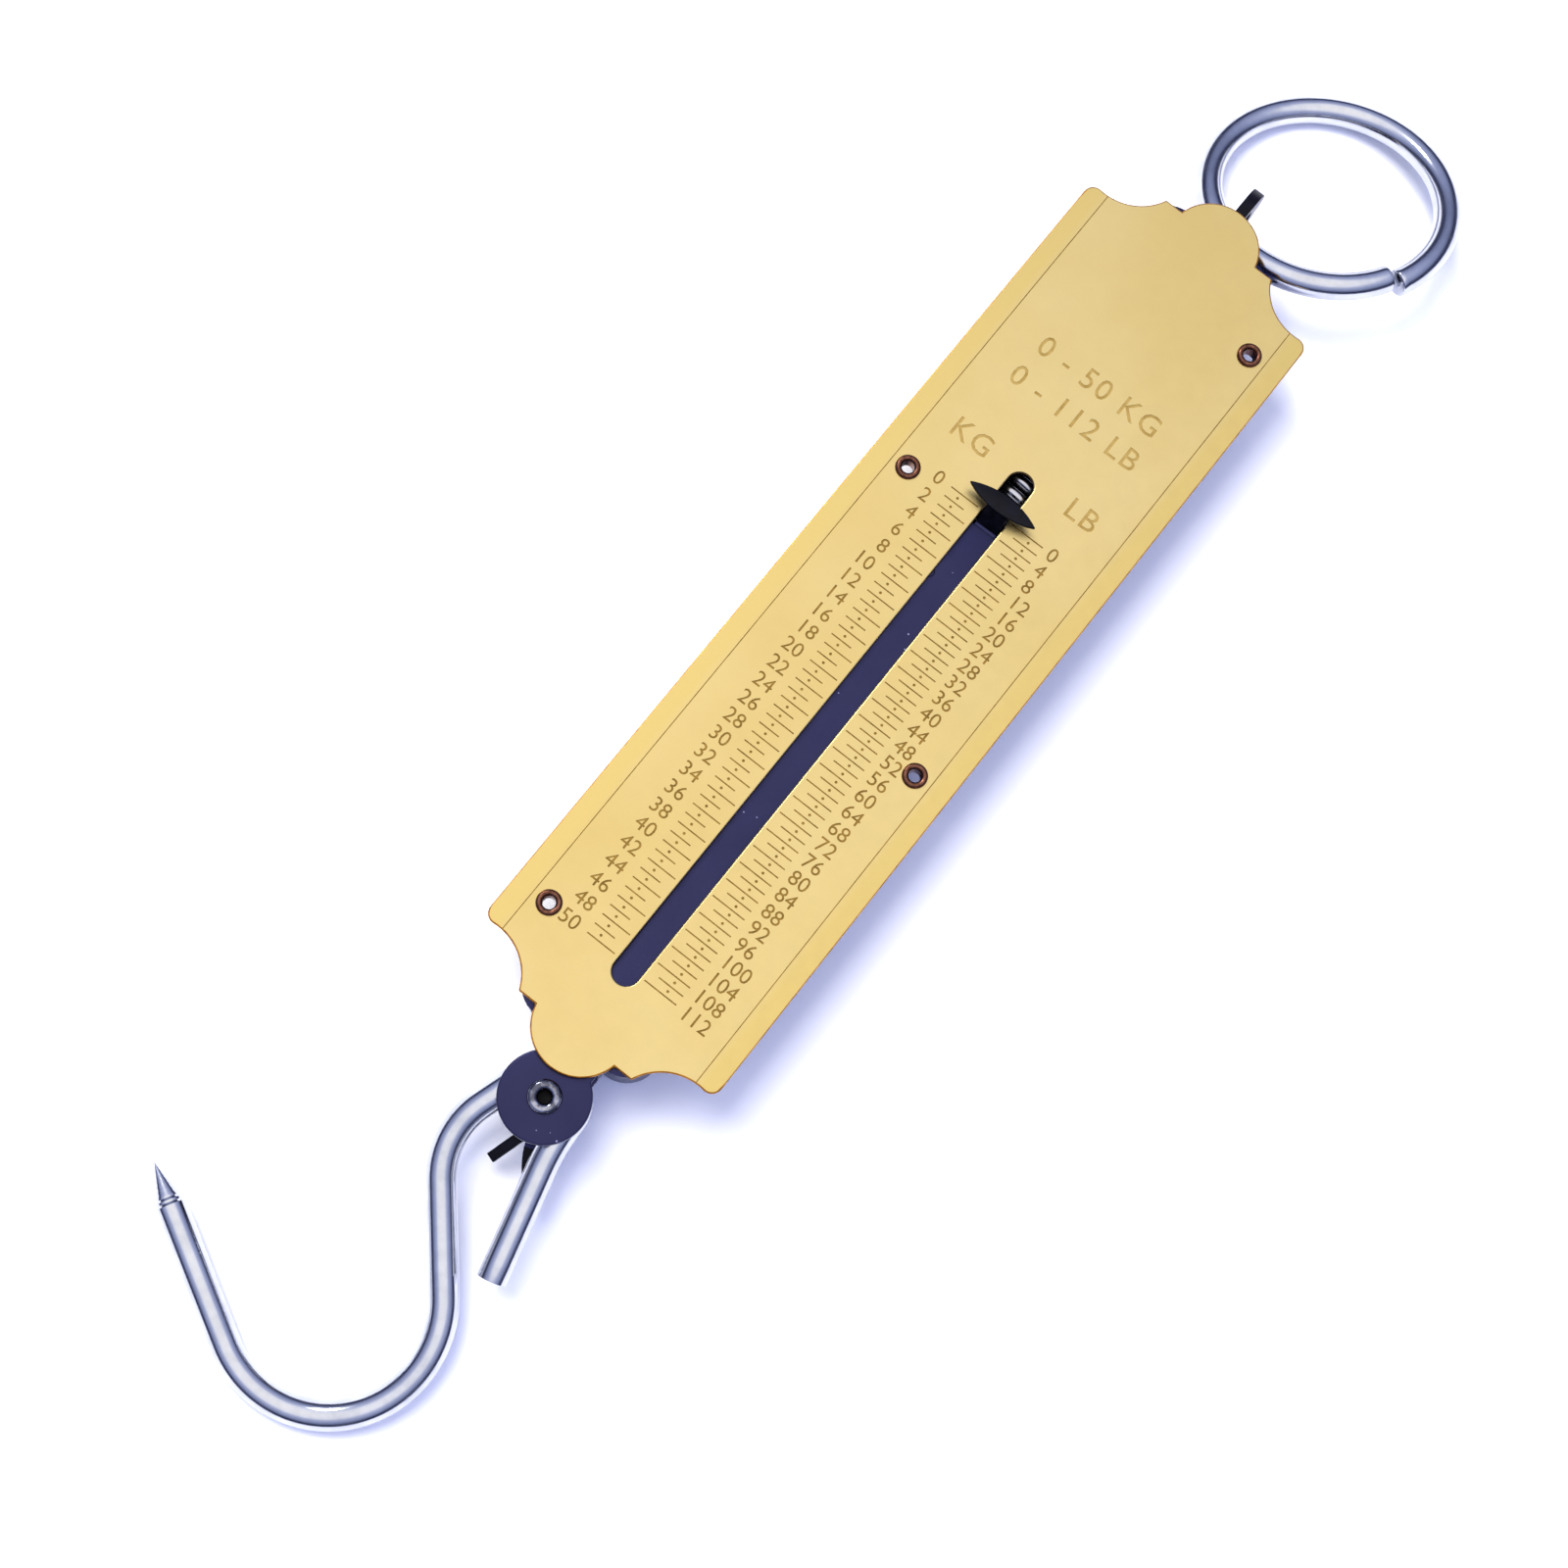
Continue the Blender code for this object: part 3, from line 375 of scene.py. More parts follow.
# %% Black nickel
def nickel_finish():
    """Black nickel, as on the hook's rivet: a dark metal with a wet shine and a few rubbed spots."""
    material, tree, shader, point = finish("black_nickel_plate", 1.0, 0.14)
    share = patches(tree, point, 1.4 * MM, 3, 0.45, 0.62)
    two_tones(tree, shader, share, "#5A5B68", "#A9AAB6", (0.1, 0.2))
    fine_bump(tree, shader, point, 0.5 * MM, 0.02 * MM, 0.5)
    return material


black_nickel = nickel_finish()

# %% [markdown]
# ### Antique copper
# The eyelets are brass with an antique copper plating, brown in the hollows and rubbed bright on the
# crown. The rubbed parts could be painted by hand, but on so small a part blotches under a millimetre do
# as well. The table under it all is plain paper, all but white.

# %% Copper
def copper_finish():
    material, tree, shader, point = finish("antique_copper_plate", 1.0, 0.3)
    share = patches(tree, point, 0.8 * MM, 3, 0.3, 0.7)
    two_tones(tree, shader, share, "#8E5F4A", "#5E3B2C", (0.24, 0.4))
    fine_bump(tree, shader, point, 0.3 * MM, 0.01 * MM, 0.4)
    return material


# %% Paper
def paper_finish():
    """The table's white seamless paper, with a tooth too fine to see on its own."""
    material, tree, shader, point = finish("white_seamless_paper", 0.0, 0.9)
    two_tones(tree, shader, patches(tree, point, 60 * MM, 2, 0.3, 0.7), "#F6F6F8", "#F9F9FB")
    return material


copper = copper_finish()
floor.data.materials.append(paper_finish())

# %% [markdown]
# ## Shaping tools
# Most pieces start as one of three things: a block or rod primitive, an outline drawn point by point and
# pushed up into a plate, or a profile spun round an axis. Booleans with the exact solver cut holes and
# join shapes, and a small Bevel modifier then breaks the sharp edges, because a real pressed edge always
# catches a line of light.


# %% Primitives
def block(name, low, high):
    """A cube primitive that fills the space between two corners."""
    bpy.ops.object.select_all(action="DESELECT")
    bpy.ops.mesh.primitive_cube_add(size=1, location=(Vector(low) + Vector(high)) / 2)
    piece = bpy.context.object
    piece.name = name
    piece.scale = Vector(high) - Vector(low)
    return settle(piece)


def rod(name, middle, radius, length, turn=(0, 0, 0), sides=96):
    """A cylinder primitive about a point, along Z unless it is turned."""
    bpy.ops.object.select_all(action="DESELECT")
    bpy.ops.mesh.primitive_cylinder_add(
        vertices=sides, radius=radius, depth=length, location=middle, rotation=turn
    )
    piece = bpy.context.object
    piece.name = name
    return settle(piece)


ALONG_X = (0, math.radians(90), 0)


# %% Booleans, bevels and smoothing
def combine(piece, tool, operation="DIFFERENCE", carry_material=False):
    """Cuts a tool out of a piece, or joins it on. The tool is used up."""
    only(piece)
    step = piece.modifiers.new(operation.lower(), "BOOLEAN")
    step.operation = operation
    step.solver = "EXACT"
    step.material_mode = "TRANSFER" if carry_material else "INDEX"
    step.object = tool
    bpy.ops.object.modifier_apply(modifier=step.name)
    bpy.data.objects.remove(tool)
    return piece


def break_edges(piece, width, segments=3, angle=40, held_in=True):
    """Rounds edges sharper than an angle with a Bevel modifier. held_in keeps it off short edges."""
    only(piece)
    step = piece.modifiers.new("broken_edges", "BEVEL")
    step.width = width
    step.segments = segments
    step.limit_method = "ANGLE"
    step.angle_limit = math.radians(angle)
    step.use_clamp_overlap = held_in
    bpy.ops.object.modifier_apply(modifier=step.name)
    return piece


def smooth(piece, angle=35):
    """Shades round faces smooth and keeps real edges sharp."""
    only(piece)
    bpy.ops.object.shade_smooth_by_angle(angle=math.radians(angle))
    return piece


def two_finishes(piece, first, second, chosen):
    """Puts the second finish on the faces that are chosen, and the first on all others."""
    piece.data.materials.append(first)
    piece.data.materials.append(second)
    for face in piece.data.polygons:
        face.material_index = int(chosen(face))


def done(piece, material, body, slot, *nodes):
    """Gives a finished piece its material, its body and the nodes that it stands for. The slot is not used.
    """
    if not piece.data.materials:
        piece.data.materials.append(material)
    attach(piece, body)
    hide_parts(*nodes)
    print(piece.name, "has", len(piece.data.polygons), "faces")
    return piece


# %% Lines, plates and lathe work
def arc(middle, radius, start, end, steps):
    """Points along a circle from one angle to another, in degrees, both ends included."""
    turns = [math.radians(start + (end - start) * i / steps) for i in range(steps + 1)]
    return [(middle[0] + radius * math.cos(t), middle[1] + radius * math.sin(t)) for t in turns]


def draw_line(name, points):
    """A line drawn by extruding one point from place to place. It stays in edit mode."""
    bpy.ops.object.select_all(action="DESELECT")
    bpy.ops.mesh.primitive_plane_add(size=MM, location=points[0])
    piece = bpy.context.object
    piece.name = name
    bpy.ops.object.mode_set(mode="EDIT")
    bpy.ops.mesh.select_all(action="SELECT")
    bpy.ops.mesh.merge(type="CENTER")
    for here, there in zip(points, points[1:]):
        step = Vector(there) - Vector(here)
        bpy.ops.mesh.extrude_vertices_move(TRANSFORM_OT_translate={"value": step})
    return piece


def close_up(piece):
    """Merges doubled points, turns the faces outwards, and goes back to object mode."""
    bpy.ops.mesh.select_all(action="SELECT")
    bpy.ops.mesh.remove_doubles(threshold=0.001 * MM)
    bpy.ops.mesh.normals_make_consistent(inside=False)
    bpy.ops.object.mode_set(mode="OBJECT")
    return settle(piece)


def push_up(name, outline, low, high):
    """A flat outline filled and extruded from one height to another."""
    piece = draw_line(name, [(x, y, low) for x, y in (*outline, outline[0])])
    bpy.ops.mesh.select_all(action="SELECT")
    bpy.ops.mesh.remove_doubles(threshold=0.001 * MM)
    bpy.ops.mesh.edge_face_add()
    bpy.ops.mesh.extrude_region_move(TRANSFORM_OT_translate={"value": (0, 0, high - low)})
    return close_up(piece)


# %% Lathe
def lathe(name, profile, middle, steps=72, axis="Z"):
    """A (radius, height) profile spun once round an axis through a point."""
    x, y, z = middle
    if axis == "Z":
        points = [(x + radius, y, z + height) for radius, height in profile]
        pole = (0, 0, 1)
    else:
        points = [(x + height, y + radius, z) for radius, height in profile]
        pole = (1, 0, 0)
    piece = draw_line(name, points)
    bpy.ops.mesh.select_all(action="SELECT")
    bpy.ops.mesh.spin(steps=steps, angle=2 * math.pi, center=middle, axis=pole)
    return close_up(piece)


# %% [markdown]
# ## The dial
# The dial is one sheet of brass, blanked to a shape with a dome, two small shoulders and two scoops at
# each end, slotted down the middle and creased along both sides so that its margins lean back a little.
# The shape could be cut from a block with round tools, but one outline of true arcs, pushed up to the
# sheet's thickness, keeps every edge clean for the bevel that follows.

# %% Dial blank
dial_low, dial_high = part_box("face_plate")
HALF_WIDTH = dial_high.x
HALF_LENGTH = dial_high.y
DIAL_FRONT = dial_high.z
DIAL_BACK = dial_low.z
DOME_RADIUS = 8.45 * MM
SHOULDER_DROP = 6.6 * MM
SCOOP_RADIUS = 10 * MM
SCOOP_IN = 3.25 * MM
SCOOP_DOWN = 2.7 * MM
CORNER_SIZE = 2 * MM
SLOT_WIDTH = 4.9 * MM
SLOT_TOP = 33.7 * MM
SLOT_BOTTOM = -80.1 * MM
CREASE_X = 20.3 * MM
MARGIN_LEAN = math.radians(1.2)
EYELET_HOLE = 1.6 * MM
EYELET_NODES = ("eyelet_1", "eyelet_2", "eyelet_3", "eyelet_4")


def middle_of(node):
    """The middle of a node's box."""
    low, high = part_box(node)
    return (low + high) / 2


def through(name, place, radius):
    """A round tool that goes right through the dial."""
    return rod(name, (place[0], place[1], DIAL_FRONT), radius, 6 * MM)


def dial_outline(steps=28):
    """One quarter of the outline, corner, scoop, shoulder and dome, mirrored to all four."""
    scoop = (HALF_WIDTH - SCOOP_IN, HALF_LENGTH - SCOOP_DOWN)
    shoulder_y = HALF_LENGTH - SHOULDER_DROP
    dome_y = HALF_LENGTH - DOME_RADIUS
    corner_x = HALF_WIDTH - CORNER_SIZE
    leave_corner = math.acos((corner_x - scoop[0]) / SCOOP_RADIUS)
    reach_shoulder = math.degrees(math.asin((shoulder_y - scoop[1]) / SCOOP_RADIUS))
    reach_dome = math.degrees(math.asin((shoulder_y - dome_y) / DOME_RADIUS))
    corner_y = scoop[1] - SCOOP_RADIUS * math.sin(leave_corner) - CORNER_SIZE
    quarter = arc((corner_x, corner_y), CORNER_SIZE, 0, 90, 8)[:-1]
    quarter += arc(scoop, SCOOP_RADIUS, -math.degrees(leave_corner), -180 - reach_shoulder, steps)
    quarter += arc((0, dome_y), DOME_RADIUS, reach_dome, 90, steps)
    top = quarter + [(-x, y) for x, y in reversed(quarter[:-1])]
    return top + [(-x, -y) for x, y in top]


# %% Slot and margins
def cut_slot(dial):
    """The pointer's slot: a straight run with a round end at each end."""
    half = SLOT_WIDTH / 2
    top, bottom = SLOT_TOP - half, SLOT_BOTTOM + half
    run = arc((0, top), half, 0, 180, 32) + arc((0, bottom), half, 180, 360, 32)
    return combine(dial, push_up("slot", run, DIAL_BACK - MM, DIAL_FRONT + MM))


def lean_margins(dial):
    """Creases the sheet along both sides and leans the margins back."""
    for side in (1, -1):
        only(dial)
        bpy.ops.object.mode_set(mode="EDIT")
        bpy.ops.mesh.select_all(action="SELECT")
        crease = (side * CREASE_X, 0, DIAL_BACK)
        bpy.ops.mesh.bisect(plane_co=crease, plane_no=(1, 0, 0))
        bpy.ops.mesh.select_all(action="DESELECT")
        bpy.ops.object.mode_set(mode="OBJECT")
        for point in dial.data.vertices:
            if side * point.co.x > CREASE_X + 0.001 * MM:
                point.co.z -= (side * point.co.x - CREASE_X) * math.tan(MARGIN_LEAN)
    return dial


dial = cut_slot(push_up("dial_plate", dial_outline(), DIAL_BACK, DIAL_FRONT))
for node in EYELET_NODES:
    combine(dial, through("eyelet_hole", middle_of(node), EYELET_HOLE))
lean_margins(dial)
break_edges(dial, 0.26 * MM, 3, 50, held_in=False)
print("dial blank:", len(dial.data.vertices), "points")

# %% [markdown]
# ## Graduations and numerals
# The marks are stamped into the brass, kilograms on the left of the slot and pounds on the right. Each
# kind of line is modelled once and repeated down the dial with an Array modifier, as a ruler is stamped
# with one punch. The numerals are text turned into mesh. All of them together are one tool, which the
# exact Boolean presses a tenth of a millimetre into the sheet. The walls and floor of each mark take the
# darker brass with them, painted shade in the recesses.

# %% Sizes of the marks
MARK_DEPTH = 0.10 * MM
LINE_WIDTH = 0.24 * MM
DOT_RADIUS = 0.26 * MM
KILO_ZERO = 23.4 * MM
KILO_STEP = 2 * MM
KILO_EDGE = -9.1 * MM
KILO_LINES = ((0, 2, 26, 5.8 * MM), (1, 2, 25, 4.2 * MM))
POUND_ZERO = 24.66 * MM
POUND_STEP = 0.90718 * MM
POUND_EDGE = 9.9 * MM
POUND_LINES = ((0, 4, 29, 6.7 * MM), (2, 4, 28, 5.1 * MM))
NUMERAL_HEIGHT = 2.8 * MM
NUMERAL_GAP = 1.7 * MM
LETTER_HEIGHT = 4.2 * MM
MARK_TOP = DIAL_FRONT + 0.3 * MM
MARK_FLOOR = DIAL_FRONT - MARK_DEPTH


# %% Lines and dots
def repeat_down(piece, count, step):
    """Copies a mark down the dial with an Array modifier."""
    only(piece)
    row = piece.modifiers.new("row", "ARRAY")
    row.count = count
    row.use_relative_offset = False
    row.use_constant_offset = True
    row.constant_offset_displace = (0, -step, 0)
    bpy.ops.object.modifier_apply(modifier=row.name)
    return piece


def line_row(edge, zero, step, first, every, count, length):
    """A row of equal lines that start at one edge and run towards the slot."""
    inner = edge - math.copysign(length, edge)
    middle = zero - first * step
    low = (min(edge, inner), middle - LINE_WIDTH / 2, MARK_FLOOR)
    high = (max(edge, inner), middle + LINE_WIDTH / 2, MARK_TOP)
    return repeat_down(block("lines", low, high), count, every * step)


def dot_row(x, first_y, count, step):
    """A row of round dots."""
    middle = (x, first_y, (MARK_FLOOR + MARK_TOP) / 2)
    return repeat_down(rod("dots", middle, DOT_RADIUS, MARK_TOP - MARK_FLOOR, sides=12), count, step)


marks = [line_row(KILO_EDGE, KILO_ZERO, KILO_STEP, *row) for row in KILO_LINES]
marks += [line_row(POUND_EDGE, POUND_ZERO, POUND_STEP, *row) for row in POUND_LINES]
marks.append(dot_row(KILO_EDGE + 2.1 * MM, KILO_ZERO - KILO_STEP / 2, 50, KILO_STEP))
marks.append(dot_row(POUND_EDGE - 2.5 * MM, POUND_ZERO - POUND_STEP, 56, 2 * POUND_STEP))
for side in (1, -1):
    x = side * CREASE_X
    end = HALF_LENGTH
    low, high = (x - LINE_WIDTH / 3, -end, MARK_FLOOR), (x + LINE_WIDTH / 3, end, MARK_TOP)
    marks.append(block("crease", low, high))


# %% Numerals and letters
def punch(words, place, height, align, spacing):
    """Stamped characters: a text object turned into mesh, then sized and put in its place."""
    bpy.ops.object.select_all(action="DESELECT")
    bpy.ops.object.text_add()
    text = bpy.context.object
    text.data.body = words
    text.data.align_x = align
    text.data.align_y = "CENTER"
    text.data.size = height / CAPITAL_SHARE
    text.data.space_character = spacing
    text.data.resolution_u = 3
    text.data.extrude = (MARK_TOP - MARK_FLOOR) / 2
    bpy.ops.object.convert(target="MESH")
    text = bpy.context.object
    text.name = "punch"
    low = min(point.co.y for point in text.data.vertices)
    high = max(point.co.y for point in text.data.vertices)
    text.location = (place[0], place[1] - (low + high) / 2, (MARK_FLOOR + MARK_TOP) / 2)
    settle(text)
    bpy.ops.object.mode_set(mode="EDIT")
    return close_up(text)


CAPITAL_SHARE = 0.729  # a capital's height in the built-in font, as a share of its size

for kilos in range(0, 51, 2):
    place = (KILO_EDGE - NUMERAL_GAP, KILO_ZERO - kilos * KILO_STEP)
    marks.append(punch(str(kilos), place, NUMERAL_HEIGHT, "RIGHT", 1.0))
for pounds in range(0, 113, 4):
    place = (POUND_EDGE + NUMERAL_GAP * 0.7, POUND_ZERO - pounds * POUND_STEP)
    marks.append(punch(str(pounds), place, NUMERAL_HEIGHT, "LEFT", 1.0))
words = [
    punch("0 - 50 KG", (0, 54.8 * MM), LETTER_HEIGHT, "CENTER", 1.12),
    punch("0 - 112 LB", (0, 47.4 * MM), LETTER_HEIGHT, "CENTER", 1.12),
    punch("KG", (-11.7 * MM, 33.0 * MM), LETTER_HEIGHT, "CENTER", 1.1),
    punch("LB", (11.7 * MM, 33.8 * MM), LETTER_HEIGHT, "CENTER", 1.1),
]

# %% Stamp the dial
def is_cut_edge(face):
    """The walls of every cut, and outside the slot their rounded edges too."""
    by_slot = abs(face.center.x) < SLOT_WIDTH and SLOT_BOTTOM - MM < face.center.y < SLOT_TOP + MM
    return abs(face.normal.z) < (0.3 if by_slot else 0.99)


bpy.ops.object.select_all(action="DESELECT")
for mark in marks + words:
    mark.data.materials.clear()
    mark.data.materials.append(faint if mark in words else stamped)
    mark.select_set(True)
bpy.context.view_layer.objects.active = marks[0]
bpy.ops.object.join()
punches = bpy.context.object
# The cut walls and rounded edges take the orange-brown brass: painted shade along the dial's rim.
two_finishes(dial, brass, edge_shade_brass, is_cut_edge)
print("punches have", len(punches.data.polygons), "faces")
combine(dial, punches, "DIFFERENCE", carry_material=True)
done(dial, brass, "case", "dial_brass", "face_plate")

# %% [markdown]
# ## The tray
# Behind the dial is a pressed steel tray: a flat back, four walls with rounded corners, and a flange that
# turns outwards to meet the dial. A press draws it from one sheet. Here it starts as a solid block with
# its corners and back edge bevelled, the flange is joined on, and a smaller block of the same shape
# hollows it out, which keeps the wall the same thickness all round.

# %% Tray sizes
tray_low, tray_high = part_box("back_housing")
TRAY_HALF_WIDTH = 13 * MM
TRAY_HALF_LENGTH = HALF_LENGTH - 6.2 * MM
TRAY_WALL = 1 * MM
TRAY_CORNER = 6 * MM
TRAY_FOOT = 2.5 * MM
LIP = 0.8 * MM
FLANGE_TOP = tray_high.z
FLANGE_END = HALF_LENGTH - 14.7 * MM
FLANGE_CORNER = 3 * MM
NOTCH_DEPTH = 4.8 * MM
NOTCH_HALF = 8 * MM
TAB_SLOT_HALF = 1.4 * MM
TAB_SLOT_DEPTH = 12.4 * MM


def rounded_block(name, half_width, half_length, low, high, corner, foot):
    """A block with round corners, and a rounded edge round its bottom if foot isn't 0."""
    outline = []
    for side_x, side_y, start in ((1, 1, 0), (-1, 1, 90), (-1, -1, 180), (1, -1, 270)):
        middle = (side_x * (half_width - corner), side_y * (half_length - corner))
        outline += arc(middle, corner, start, start + 90, 10)
    piece = push_up(name, outline, low, high)
    if foot:
        only(piece)
        bpy.context.tool_settings.mesh_select_mode = (False, False, True)
        bpy.ops.object.mode_set(mode="EDIT")
        bpy.ops.mesh.select_all(action="DESELECT")
        bpy.ops.object.mode_set(mode="OBJECT")
        for face in piece.data.polygons:
            face.select = face.normal.z < -0.9
        bpy.ops.object.mode_set(mode="EDIT")
        bpy.ops.mesh.bevel(offset=foot, segments=6, clamp_overlap=True)
        bpy.ops.object.mode_set(mode="OBJECT")
        bpy.context.tool_settings.mesh_select_mode = (True, False, False)
    return piece


# %% Press the tray
def tray():
    tray_top = FLANGE_TOP - TRAY_WALL / 2
    piece = rounded_block("tray", TRAY_HALF_WIDTH, TRAY_HALF_LENGTH, 0, tray_top, TRAY_CORNER, TRAY_FOOT)
    flange_back = FLANGE_TOP - TRAY_WALL
    sides = (tray_high.x, FLANGE_END, flange_back, FLANGE_TOP, FLANGE_CORNER, 0)
    ends = (TRAY_HALF_WIDTH + LIP / 2, TRAY_HALF_LENGTH + LIP, flange_back, FLANGE_TOP, TRAY_CORNER, 0)
    combine(piece, rounded_block("side_flange", *sides), "UNION")
    combine(piece, rounded_block("end_flange", *ends), "UNION")
    inner = (TRAY_HALF_WIDTH - TRAY_WALL, TRAY_HALF_LENGTH - TRAY_WALL, TRAY_WALL, FLANGE_TOP + MM)
    hollow = rounded_block("hollow", *inner, TRAY_CORNER - TRAY_WALL, TRAY_FOOT - TRAY_WALL)
    combine(piece, hollow)
    end = TRAY_HALF_LENGTH
    low = (-NOTCH_HALF, -end - 2 * LIP, FLANGE_TOP - NOTCH_DEPTH)
    combine(piece, block("bar_notch", low, (NOTCH_HALF, -end + 2 * MM, FLANGE_TOP + MM)))
    low = (-TAB_SLOT_HALF, end - 2 * MM, FLANGE_TOP - TAB_SLOT_DEPTH)
    combine(piece, block("tab_slot", low, (TAB_SLOT_HALF, end + 2 * LIP, FLANGE_TOP + MM)))
    for node in EYELET_NODES:
        place = middle_of(node)
        combine(piece, rod("eyelet_way", (place.x, place.y, FLANGE_TOP), EYELET_HOLE, 6 * MM))
    pin = middle_of("hanger_pin")
    combine(piece, rod("pin_way", pin, 1.6 * MM, 2 * TRAY_HALF_WIDTH + 2 * MM, ALONG_X, 48))
    break_edges(piece, 0.15 * MM, 2, 50)
    return smooth(piece, 30)


done(tray(), enamel, "case", "black_enamel", "back_housing")

# %% [markdown]
# ## Eyelets
# Four eyelets clamp the dial to the flange. An eyelet is a little tube whose ends are rolled over, so its
# profile is a half ring at each end joined by a thin wall. Spun round its axis it gives the crown that
# catches the light and leaves the bore open right through. It could be two rings and a tube joined by
# Booleans, but a single profile has no seams.


# %% Eyelets
EYELET_BORE = 1.12 * MM
EYELET_TUBE = 1.42 * MM
EYELET_CROWN = 2.25 * MM


def half_ring(inner, outer, base, height, upwards, steps=10):
    """Points over a rolled edge, from its inner side to its outer side."""
    middle, half = (inner + outer) / 2, (outer - inner) / 2
    sign = 1 if upwards else -1
    turns = [math.pi * i / steps for i in range(steps + 1)]
    return [(middle - half * math.cos(t), base + sign * height * math.sin(t)) for t in turns]


def eyelet(name, node):
    low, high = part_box(node)
    place = (low + high) / 2
    front = DIAL_FRONT + 0.04 * MM
    back = FLANGE_TOP - TRAY_WALL - 0.04 * MM
    crown = half_ring(EYELET_BORE, EYELET_CROWN, front, high.z - front, True)
    foot = half_ring(EYELET_BORE, EYELET_CROWN - 0.2 * MM, back, back - low.z, False)
    profile = crown + [(EYELET_TUBE, front), (EYELET_TUBE, back)] + foot[::-1] + crown[:1]
    return smooth(lathe(name, profile, (place.x, place.y, 0), 64), 40)


for number, node in enumerate(EYELET_NODES, start=1):
    done(eyelet(f"rolled_eyelet_{number}", node), copper, "case", "eyelet_copper", node)

# %% [markdown]
# ## Hanger tab and its pin
# The tab is a thick steel strip on edge with a round nose. It carries the ring in one hole and the
# spring's upper loop in another, and a headed pin through the tray's walls holds it. The tab is an
# outline pushed up, then stood on its edge; the pin is lathe work. A block with a round end joined on
# would do, but an outline gives the nose in one. The narrow edges take the duller, darker black, so they
# are darker than the faces.

# %% Tab and pin
tab_low, tab_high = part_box("hanger_tab")
TAB_HALF_HEIGHT = (tab_high.z - tab_low.z) / 2
TAB_MIDDLE = (tab_high.z + tab_low.z) / 2
RING_HOLE_Y = tab_high.y - 8.8 * MM
RING_HOLE = 4.7 * MM
SPRING_HOLE_Y = tab_high.y - 24.4 * MM
SPRING_HOLE = 1.7 * MM


def stand_up(piece):
    """Turns a plate drawn in (Y, Z) onto its edge, so that its thickness runs along X."""
    piece.matrix_world = Matrix(((0, 0, 1, 0), (1, 0, 0, 0), (0, 1, 0, 0), (0, 0, 0, 1)))
    return settle(piece)


def tab():
    nose = tab_high.y - TAB_HALF_HEIGHT
    outline = arc((nose, TAB_MIDDLE), TAB_HALF_HEIGHT, -90, 90, 40)
    foot = 1.5 * MM
    outline += arc((tab_low.y + foot, TAB_MIDDLE + TAB_HALF_HEIGHT - foot), foot, 90, 180, 6)
    outline += arc((tab_low.y + foot, TAB_MIDDLE - TAB_HALF_HEIGHT + foot), foot, 180, 270, 6)
    piece = stand_up(push_up("hanging_tab", outline, tab_low.x, tab_high.x))
    pin = middle_of("hanger_pin")
    spring_z = middle_of("main_spring").z
    holes = ((RING_HOLE_Y, TAB_MIDDLE - 0.1 * MM, RING_HOLE), (pin.y, pin.z, 1.55 * MM))
    for y, z, radius in (*holes, (SPRING_HOLE_Y, spring_z, SPRING_HOLE)):
        combine(piece, rod("hole", (0, y, z), radius, 6 * MM, ALONG_X, 64))
    break_edges(piece, 0.3 * MM, 3, 50)
    two_finishes(piece, enamel, dull_black, lambda face: abs(face.normal.x) < 0.5)
    return smooth(piece, 30)


# %% Cross pin
def headed_pin():
    low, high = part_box("hanger_pin")
    middle = (low + high) / 2
    half = high.x - middle.x
    head = (high.z - low.z) / 2
    shank, thick = 1.48 * MM, 0.9 * MM
    leans = [math.pi / 2 * i / 8 for i in range(8, 0, -1)]
    profile = [(head * math.cos(t), half - thick * (1 - math.sin(t))) for t in leans]
    profile += [(head, half - thick), (shank, half - thick - 0.02 * MM)]
    profile += [(radius, -height) for radius, height in reversed(profile)]
    return smooth(lathe("cross_pin", profile, middle, 48, "X"), 40)


done(tab(), enamel, "case", "black_enamel", "hanger_tab")
done(headed_pin(), enamel, "case", "black_enamel", "hanger_pin")

# %% [markdown]
# ## Round wire
# The ring and the hook are one length of wire each, bent round pins. The same is done here: a filled
# circle is the wire's end, Extrude runs it straight and Spin bends it round a centre. Afterwards each
# point is given its distance along the wire and its angle round it, in millimetres, for the drawing lines
# in the steel. A curve with a round bevel would make wire too, but Spin makes the very arcs that a
# bending pin makes.


# %% Wire helpers
def start_wire(name, middle, radius, sides=40):
    """The wire's first end, which faces along Y. It stays in edit mode, selected."""
    bpy.ops.object.select_all(action="DESELECT")
    turn = (math.radians(90), 0, 0)
    bpy.ops.mesh.primitive_circle_add(
        vertices=sides, radius=radius, fill_type="NGON", location=middle, rotation=turn
    )
    wire = bpy.context.object
    wire.name = name
    bpy.ops.object.transform_apply(location=True, rotation=True, scale=True)
    bpy.ops.object.mode_set(mode="EDIT")
    bpy.ops.mesh.select_all(action="SELECT")
    return wire


def run_on(step, pieces=1):
    """Runs the wire on along a straight line."""
    for _ in range(pieces):
        bpy.ops.mesh.extrude_region_move(TRANSFORM_OT_translate={"value": Vector(step) / pieces})


def bend(middle, degrees, steps):
    """Bends the wire round an upright pin. Anticlockwise is positive, which is the other way for Spin."""
    bpy.ops.mesh.spin(steps=steps, angle=-math.radians(degrees), center=(*middle, 0), axis=(0, 0, 1))


